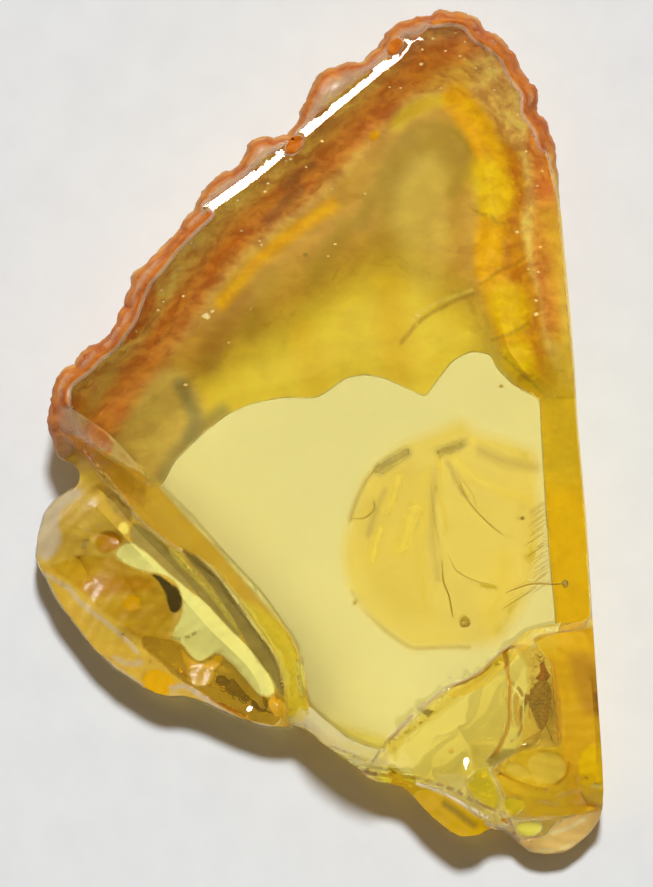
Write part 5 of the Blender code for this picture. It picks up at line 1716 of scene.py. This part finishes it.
@dataclass
class MainInsect:
    """The larger insect: spindle-shaped, head towards +Y, grey wings folded over its back.

    Each leg is its place along the body, its reach to the side and its sweep to the back; each
    band over the back is its place and its slant.
    """

    place: Spot = (7.46, -8.48, 1.25)
    turn_deg: float = -90.0
    head: Rows = ((-1.34, 0.02, 0.02, 0.0), (-1.26, 0.10, 0.09, 0.0), (-1.12, 0.17, 0.14, 0.01),
                  (-0.95, 0.23, 0.18, 0.02), (-0.82, 0.25, 0.19, 0.02), (-0.70, 0.24, 0.18, 0.0),
                  (-0.62, 0.18, 0.14, 0.0))
    trunk: Rows = ((-0.70, 0.18, 0.14, 0.0), (-0.58, 0.31, 0.22, 0.03), (-0.42, 0.37, 0.26, 0.05),
                   (-0.22, 0.42, 0.28, 0.05), (0.00, 0.46, 0.29, 0.04), (0.20, 0.45, 0.28, 0.02),
                   (0.38, 0.42, 0.27, 0.0), (0.58, 0.37, 0.25, 0.0), (0.78, 0.30, 0.21, 0.0),
                   (0.98, 0.22, 0.16, 0.0), (1.16, 0.13, 0.10, 0.0), (1.30, 0.03, 0.02, 0.0))
    ring_start: float = 0.12
    ring_pitch: float = 0.15
    ring_depth: float = 0.10
    legs: tuple[Spot, ...] = ((-0.45, 0.42, -0.1), (-0.18, 0.46, 0.18), (0.08, 0.45, 0.5))
    bands: tuple[Point, ...] = ((0.18, 0.10), (0.30, 0.05))
    wing_rows: int = 25
    wing_sides: int = 14

    def build(self) -> bpy.types.Object:
        """Build the insect.

        Returns:
            The insect as one object.
        """
        made = Parts()
        at = (Matrix.Translation(Vector(self.place))
              @ Matrix.Rotation(math.radians(self.turn_deg), 4, "Z"))
        made.body(at, self.head, Look.HEAD)
        made.body(at, segmented(self.trunk, self.ring_start, self.ring_pitch, self.ring_depth),
                  Look.CHITIN)
        for side in (-1, 1):
            made.ball(tuple(at @ Vector((-0.86, side * 0.13, 0.06))), (0.07, 0.05, 0.06), 0.0,
                      Look.CHITIN)
            self.wing(made, at, side)
            made.tube(placed(at, ((-1.2, side * 0.03, 0.02), (-1.36, side * 0.10, 0.05),
                                  (-1.50, side * 0.20, 0.03))), (0.014, 0.011, 0.006),
                      Look.CHITIN, 6)
            for x, reach, sweep in self.legs:
                made.tube(placed(at, ((x, side * 0.2, -0.12),
                                      (x + sweep * 0.4, side * reach * 0.85, -0.22),
                                      (x + sweep, side * reach, -0.32),
                                      (x + sweep * 1.5, side * reach * 0.9, -0.36))),
                          (0.03, 0.02, 0.012, 0.006), Look.CHITIN, 6)
        for x, slant in self.bands:
            made.tube(placed(at, ((x + slant, -0.39, 0.05), (x, -0.1, 0.33),
                                  (x - slant, 0.36, 0.10))), (0.012, 0.018, 0.012), Look.DARK, 6)
        made.tube(placed(at, ((1.22, 0.0, 0.0), (1.45, -0.22, 0.02), (1.66, -0.62, 0.0),
                              (1.80, -1.00, 0.0))), (0.05, 0.07, 0.08, 0.03), Look.WING, 8)
        made.tube(placed(at, ((0.95, 0.14, 0.0), (1.30, 0.30, -0.05), (1.68, 0.52, -0.05))),
                  (0.03, 0.025, 0.014), Look.CHITIN, 6)
        return made.as_object("insect_main_body")

    def wing(self, made: Parts, at: Matrix, side: int) -> None:
        """Add one wing, folded back over the body, with raised veins.

        Args:
            made: what it is added to.
            at: where the insect sits.
            side: -1 or 1.
        """
        rings = []
        for i in range(self.wing_rows):
            share = i / (self.wing_rows - 1)
            x = -0.44 + 1.36 * share
            wide = 0.20 * math.sin(math.pi * min(1.0, 0.06 + share * 0.94)) ** 0.6 + 0.008
            middle = side * (0.12 + 0.10 * math.sin(math.pi * share) - 0.06 * share)
            lift = 0.30 - 0.16 * share
            ring = []
            for k in range(self.wing_sides):
                turn = 2 * math.pi * k / self.wing_sides
                y = middle + wide * math.cos(turn)
                ripple = 0.006 * math.sin(5 * turn + 4 * share)
                z = lift - 0.5 * abs(y) ** 1.5 + (0.016 + ripple) * math.sin(turn)
                ring.append(at @ Vector((x, y, z)))
            rings.append(ring)
        made.rings(rings, Look.WING)


@dataclass
class SmallInsect:
    """The smaller insect in the thin part: dark, with a pale patch of painted highlight on its
    abdomen.

    Each leg is its place along the body, its reach to the side and its sweep to the back.
    """

    place: Spot = (-2.63, -8.62, 1.15)
    turn_deg: float = -30.5
    head: Rows = ((-1.00, 0.03, 0.03, 0.0), (-0.93, 0.14, 0.11, 0.0), (-0.80, 0.20, 0.15, 0.02),
                  (-0.68, 0.18, 0.13, 0.0), (-0.60, 0.10, 0.07, 0.0))
    trunk: Rows = ((-0.64, 0.10, 0.08, 0.0), (-0.54, 0.22, 0.16, 0.03), (-0.34, 0.30, 0.20, 0.05),
                   (-0.14, 0.27, 0.18, 0.03), (-0.02, 0.24, 0.15, 0.0), (0.16, 0.31, 0.19, 0.0),
                   (0.38, 0.32, 0.19, 0.0), (0.60, 0.26, 0.16, 0.0), (0.82, 0.16, 0.11, 0.0),
                   (1.00, 0.04, 0.03, 0.0))
    ring_start: float = 0.0
    ring_pitch: float = 0.12
    ring_depth: float = 0.12
    legs: tuple[Spot, ...] = ((-0.42, 0.34, -0.16), (-0.25, 0.38, 0.10), (-0.1, 0.36, 0.30))

    def build(self) -> bpy.types.Object:
        """Build the insect.

        Returns:
            The insect as one object.
        """
        made = Parts()
        turn = math.radians(self.turn_deg)
        at = Matrix.Translation(Vector(self.place)) @ Matrix.Rotation(turn, 4, "Z")
        made.body(at, self.head, Look.DARK)
        made.body(at, segmented(self.trunk, self.ring_start, self.ring_pitch, self.ring_depth),
                  Look.DARK)
        # painted highlight: a pale patch on the abdomen
        made.ball(tuple(at @ Vector((0.28, 0.02, 0.13))), (0.17, 0.09, 0.07), turn, Look.PALE)
        made.tube(placed(at, ((0.82, 0.0, 0.0), (1.05, 0.02, 0.0), (1.30, -0.02, 0.0))),
                  (0.035, 0.025, 0.01), Look.DARK, 6)
        for side in (-1, 1):
            made.tube(placed(at, ((-0.8, side * 0.05, 0.03), (-0.98, side * 0.14, 0.06),
                                  (-1.10, side * 0.26, 0.02))), (0.014, 0.011, 0.006),
                      Look.DARK, 6)
            for x, reach, sweep in self.legs:
                made.tube(placed(at, ((x, side * 0.1, -0.05),
                                      (x + sweep * 0.5, side * reach * 0.8, -0.02),
                                      (x + sweep, side * reach, -0.16),
                                      (x + sweep * 1.6, side * reach * 0.94, -0.2))),
                          (0.026, 0.02, 0.014, 0.008), Look.DARK, 6)
        return made.as_object("insect_small_body")


# height, radius and drawn places of each thread
THREADS = (
    (1.1, 0.024, trace(408, -410, 412, -480, 432, -530, 445, -600)),
    (1.1, 0.018, trace(465, -137, 495, -210, 558, -283, 612, -327)),
    (1.1, 0.014, trace(432, -397, 458, -447, 522, -480, 568, -490)),
    (1.6, 0.026, trace(622, -517, 702, -490, 775, -490, 822, -487)),
    (1.6, 0.018, trace(612, -570, 665, -537, 722, -500)),
    (0.9, 0.028, trace(105, -270, 148, -270, 182, -240, 178, -210)),
    (1.2, 0.026, trace(-492, -663, -458, -660, -432, -647, -415, -637)),
    (1.2, 0.010, trace(452, -110, 502, -177, 528, -243)),
    (1.2, 0.010, trace(368, -143, 382, -277, 402, -360)),
)
KNOT = (4.85, -6.17)
KNOT_RADII = (0.07, 0.05, 0.08, 0.06, 0.05, 0.08, 0.05, 0.06, 0.07)
# drawn x and y, and size
SPECKS = ((8.18, -4.87, 0.11), (6.75, -2.70, 0.06), (6.05, 1.70, 0.06), (-2.25, 4.27, 0.07),
          (-0.48, 6.07, 0.07), (8.02, -8.77, 0.05))
# drawn x and y, size and height of each flake of painted glint
GLINT_FLAKES = (
    (1.15, -5.53, 0.10, 1.00), (4.35, -10.43, 0.11, 2.40), (5.42, -11.13, 0.09, 2.60),
    (5.65, -11.87, 0.10, 2.20), (3.72, -11.70, 0.05, 2.30), (5.18, -11.60, 0.06, 2.50),
    (5.55, -11.43, 0.05, 2.40), (4.95, -11.37, 0.05, 2.50), (-3.75, 4.00, 0.15, 4.20),
    (-3.55, 4.17, 0.08, 4.25), (-4.45, 1.73, 0.08, 3.90), (3.25, 4.03, 0.07, 2.20),
    (-4.52, 4.67, 0.06, 4.20), (-4.28, 6.43, 0.07, 4.30), (-5.28, 5.63, 0.07, 4.30),
    (-3.02, 3.13, 0.05, 4.20), (-1.92, 6.37, 0.06, 4.20), (-1.98, 6.50, 0.05, 4.20),
    (0.42, 8.23, 0.05, 4.30), (1.52, 8.07, 0.05, 4.20), (0.52, 6.40, 0.05, 4.00),
    (0.28, 6.00, 0.05, 4.00), (3.38, 12.37, 0.07, 4.35), (4.65, 12.63, 0.05, 4.35),
    (5.18, 12.23, 0.05, 4.30), (4.02, 11.57, 0.05, 4.30), (2.68, 11.57, 0.05, 4.30),
    (6.55, 6.80, 0.07, 4.30), (7.32, 6.30, 0.05, 4.30), (6.92, 5.57, 0.05, 4.30),
    (7.25, 5.47, 0.06, 4.30), (7.18, 4.53, 0.06, 4.30), (7.18, 4.07, 0.09, 4.30),
    (7.22, 8.33, 0.05, 4.30), (6.85, 9.47, 0.05, 4.30), (7.22, 9.90, 0.06, 4.30),
    (-6.52, -3.03, 0.12, 1.90), (-6.45, -5.43, 0.09, 1.60), (8.02, -8.77, 0.05, 2.50),
    (9.08, -9.60, 0.05, 2.60), (9.12, -11.67, 0.06, 1.80), (1.02, 4.23, 0.04, 2.50),
    (3.05, -11.60, 0.05, 2.00))
HAIR_ENDS = ((7.28, -2.27), (7.45, -5.03))


@dataclass
class Inclusions:
    """Threads, hairs, specks and bright flakes of painted glint, all inside the amber.

    They are drawn a little towards +Y of where they lie; the shift brings them back. Sizes and
    heights are in mm.
    """

    shift: float = 0.035
    thread_wave: float = 0.12
    knot_radius: float = 0.12
    knot_height: float = 1.1
    speck_height: float = 1.5
    hairs: int = 22
    rind_glint_flakes: int = 46
    rind_height: float = 4.25
    inner_points: int = 22  # so many points of RIND_AREA lie on its inner side

    def build(self) -> bpy.types.Object:
        """Build them all.

        Returns:
            One object.
        """
        made = Parts()
        for height, radius, line in THREADS:
            places = tuple((x, y - self.shift, height + self.thread_wave * math.sin(i * 1.3))
                           for i, (x, y) in enumerate(line))
            made.tube(places, tuple(radius * (1.0 if 0 < i < len(places) - 1 else 0.5)
                                    for i in range(len(places))), Look.FIBRE)
        ring = tuple((KNOT[0] + self.knot_radius * math.cos(t * math.pi / 4), KNOT[1] - self.shift
                      + self.knot_radius * math.sin(t * math.pi / 4), self.knot_height)
                     for t in range(len(KNOT_RADII)))
        made.tube(ring, KNOT_RADII, Look.FIBRE)
        for x, y, size in SPECKS:
            made.ball((x, y - self.shift, self.speck_height), (size * 1.3, size, size * 0.8), x,
                      Look.FIBRE)
        self.hair_field(made)
        for number, (x, y, size, height) in enumerate(GLINT_FLAKES):
            made.flake((x, y - self.shift, height), size, number)
        self.scatter(made)
        return made.as_object("threads_and_glint_flakes")

    def hair_field(self, made: Parts) -> None:
        """Add a row of short bent hairs.

        Args:
            made: what they are added to.
        """
        (ax, ay), (bx, by) = HAIR_ENDS
        for i in range(self.hairs):
            share = i / (self.hairs - 1)
            jitter = noise.noise_vector(Vector((i * 2.3, 1.0, 0.0)))
            x = ax + (bx - ax) * share + jitter.x * 0.25
            y = ay + (by - ay) * share + jitter.y * 0.08
            reach = 0.32 + 0.12 * jitter.z
            made.tube(((x - reach, y - reach * 0.62, 1.3), (x, y + 0.03, 1.4),
                       (x + reach * 0.7, y + reach * 0.5, 1.3)), (0.005, 0.011, 0.004),
                      Look.FIBRE, 5)

    def scatter(self, made: Parts) -> None:
        """Add small flakes of painted glint along the rind, between its shoulder and the outer
        edge.

        Args:
            made: what they are added to.
        """
        inner = np.array(RIND_AREA[:self.inner_points])
        outer = np.array([p for name in ("rind_left", "rind_top_right")
                          for s in OUTLINE if s.name == name for p in s.points])
        for i in range(self.rind_glint_flakes):
            pick = noise.noise_vector(Vector((i * 3.7, 8.0, 1.0)))
            along = (i + 0.5) / self.rind_glint_flakes
            a = outer[min(int(along * len(outer)), len(outer) - 1)]
            b = inner[np.argmin(((inner - a) ** 2).sum(1))]
            spot = a + (b - a) * (0.22 + 0.7 * abs(pick.x))
            made.flake((float(spot[0]), float(spot[1]) - self.shift,
                        self.rind_height - 0.6 * abs(pick.y)),
                       0.035 + 0.05 * abs(pick.z), i + 100)


# ---- stage --------------------------------------------------------------------------------------


def area_lamp(name: str, shape: str, size: float, watts: float, place: Spot) -> bpy.types.Object:
    """Hang an area lamp that shines at the slice.

    Args:
        name: its name.
        shape: DISK or SQUARE.
        size: how wide it is, in m.
        watts: its power.
        place: where it hangs, in m.

    Returns:
        The lamp.
    """
    light = bpy.data.lights.new(name, "AREA")
    light.shape = shape
    light.size = size
    light.energy = watts
    made = bpy.data.objects.new(name, light)
    bpy.context.scene.collection.objects.link(made)
    made.location = place
    made.rotation_euler = (-made.location).to_track_quat("-Z", "Y").to_euler()
    made.visible_camera = False
    return made


@dataclass
class Studio:
    """A pale card, soft light from the rind end, and a camera that looks straight down.

    Places and sizes are in metres.
    """

    card_size: float = 0.6
    card_drop: float = 0.00002
    camera_height: float = 0.4
    camera_spot: Point = (0.00023, -0.00025)
    shown_height: float = 0.02957
    shown_level: float = 0.0024
    sensor_mm: float = 24.0
    near_clip: float = 0.01
    sky_colour: tuple[float, float, float, float] = (1.0, 0.79, 0.50, 1.0)
    sky_strength: float = 0.165
    key_colour: tuple[float, float, float] = (0.935, 0.985, 1.04)
    key_strength: float = 2.75
    key_spread_deg: float = 7.0
    key_slope_deg: float = 27.5
    key_turn_deg: float = -4.0
    through_size: float = 0.5
    through_watts: float = 2.45
    through_place: Spot = (-0.12, 0.10, 0.40)
    shine_size: float = 0.14
    shine_watts: float = 2.0
    shine_place: Spot = (-0.16, 0.22, 0.40)

    def card(self) -> None:
        """Lay the card just under the slice."""
        mesh = bpy.data.meshes.new("card")
        half = self.card_size / 2
        mesh.from_pydata([(x, y, -self.card_drop) for x, y in
                          ((-half, -half), (half, -half), (half, half), (-half, half))], [],
                         [(0, 1, 2, 3)])
        mesh.materials.append(PaperGround().make())
        made = bpy.data.objects.new("card", mesh)
        bpy.context.scene.collection.objects.link(made)

    def lights(self) -> None:
        """Set up the sky, the key light, a lamp that is seen through the stone only, and a lamp
        that is seen only as the shine on the rim.
        """
        scene = bpy.context.scene
        world = bpy.data.worlds.new("soft_room")
        scene.world = world
        world.use_nodes = True
        back = world.node_tree.nodes["Background"]
        back.inputs["Color"].default_value = self.sky_colour
        back.inputs["Strength"].default_value = self.sky_strength
        key = bpy.data.lights.new("key", "SUN")
        key.energy = self.key_strength
        key.color = self.key_colour
        key.angle = math.radians(self.key_spread_deg)
        lamp = bpy.data.objects.new("key", key)
        scene.collection.objects.link(lamp)
        lamp.rotation_euler = (math.radians(-self.key_slope_deg), 0.0,
                               math.radians(self.key_turn_deg))
        lamp.visible_transmission = False
        lamp.visible_glossy = False
        through = area_lamp("through_stone", "DISK", self.through_size, self.through_watts,
                            self.through_place)
        through.visible_diffuse = False
        through.visible_glossy = False
        shine = area_lamp("rim_strip", "SQUARE", self.shine_size, self.shine_watts,
                          self.shine_place)
        shine.visible_diffuse = False
        shine.visible_transmission = False

    def camera(self) -> None:
        """Hang the camera over the slice, looking straight down with +Y up."""
        scene = bpy.context.scene
        lens = bpy.data.cameras.new("camera")
        lens.sensor_fit = "VERTICAL"
        lens.sensor_height = self.sensor_mm
        lens.lens = self.sensor_mm * (self.camera_height - self.shown_level) / self.shown_height
        lens.clip_start = self.near_clip
        made = bpy.data.objects.new("camera", lens)
        scene.collection.objects.link(made)
        made.location = (*self.camera_spot, self.camera_height)
        scene.camera = made

    def set_up(self) -> None:
        """Lay out the whole stage."""
        self.card()
        self.lights()
        self.camera()
        scene = bpy.context.scene
        scene.view_settings.view_transform = "Standard"
        scene.cycles.max_bounces = 24
        scene.cycles.transmission_bounces = 20
        scene.cycles.glossy_bounces = 8
        scene.cycles.diffuse_bounces = 5
        scene.cycles.transparent_max_bounces = 16


def main() -> None:
    """Build the piece, its insects and the stage, and report each piece."""
    logging.basicConfig(level=logging.INFO, format="%(name)s: %(message)s")
    noise.seed_set(NOISE_SEED)
    Studio().set_up()
    amber = AmberMesh().build()
    amber.data.materials.append(FossilResin().make())
    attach(amber, "root")
    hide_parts("amber_lower", "amber_upper")
    main_insect = MainInsect().build()
    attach(main_insect, "root")
    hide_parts("insect_main")
    small_insect = SmallInsect().build()
    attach(small_insect, "root")
    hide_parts("insect_small")
    inclusions = Inclusions().build()
    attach(inclusions, "root")
    for piece in (amber, main_insect, small_insect, inclusions):
        LOG.info("%s: %d faces", piece.name, len(piece.data.polygons))


if __name__ == "__main__":
    main()
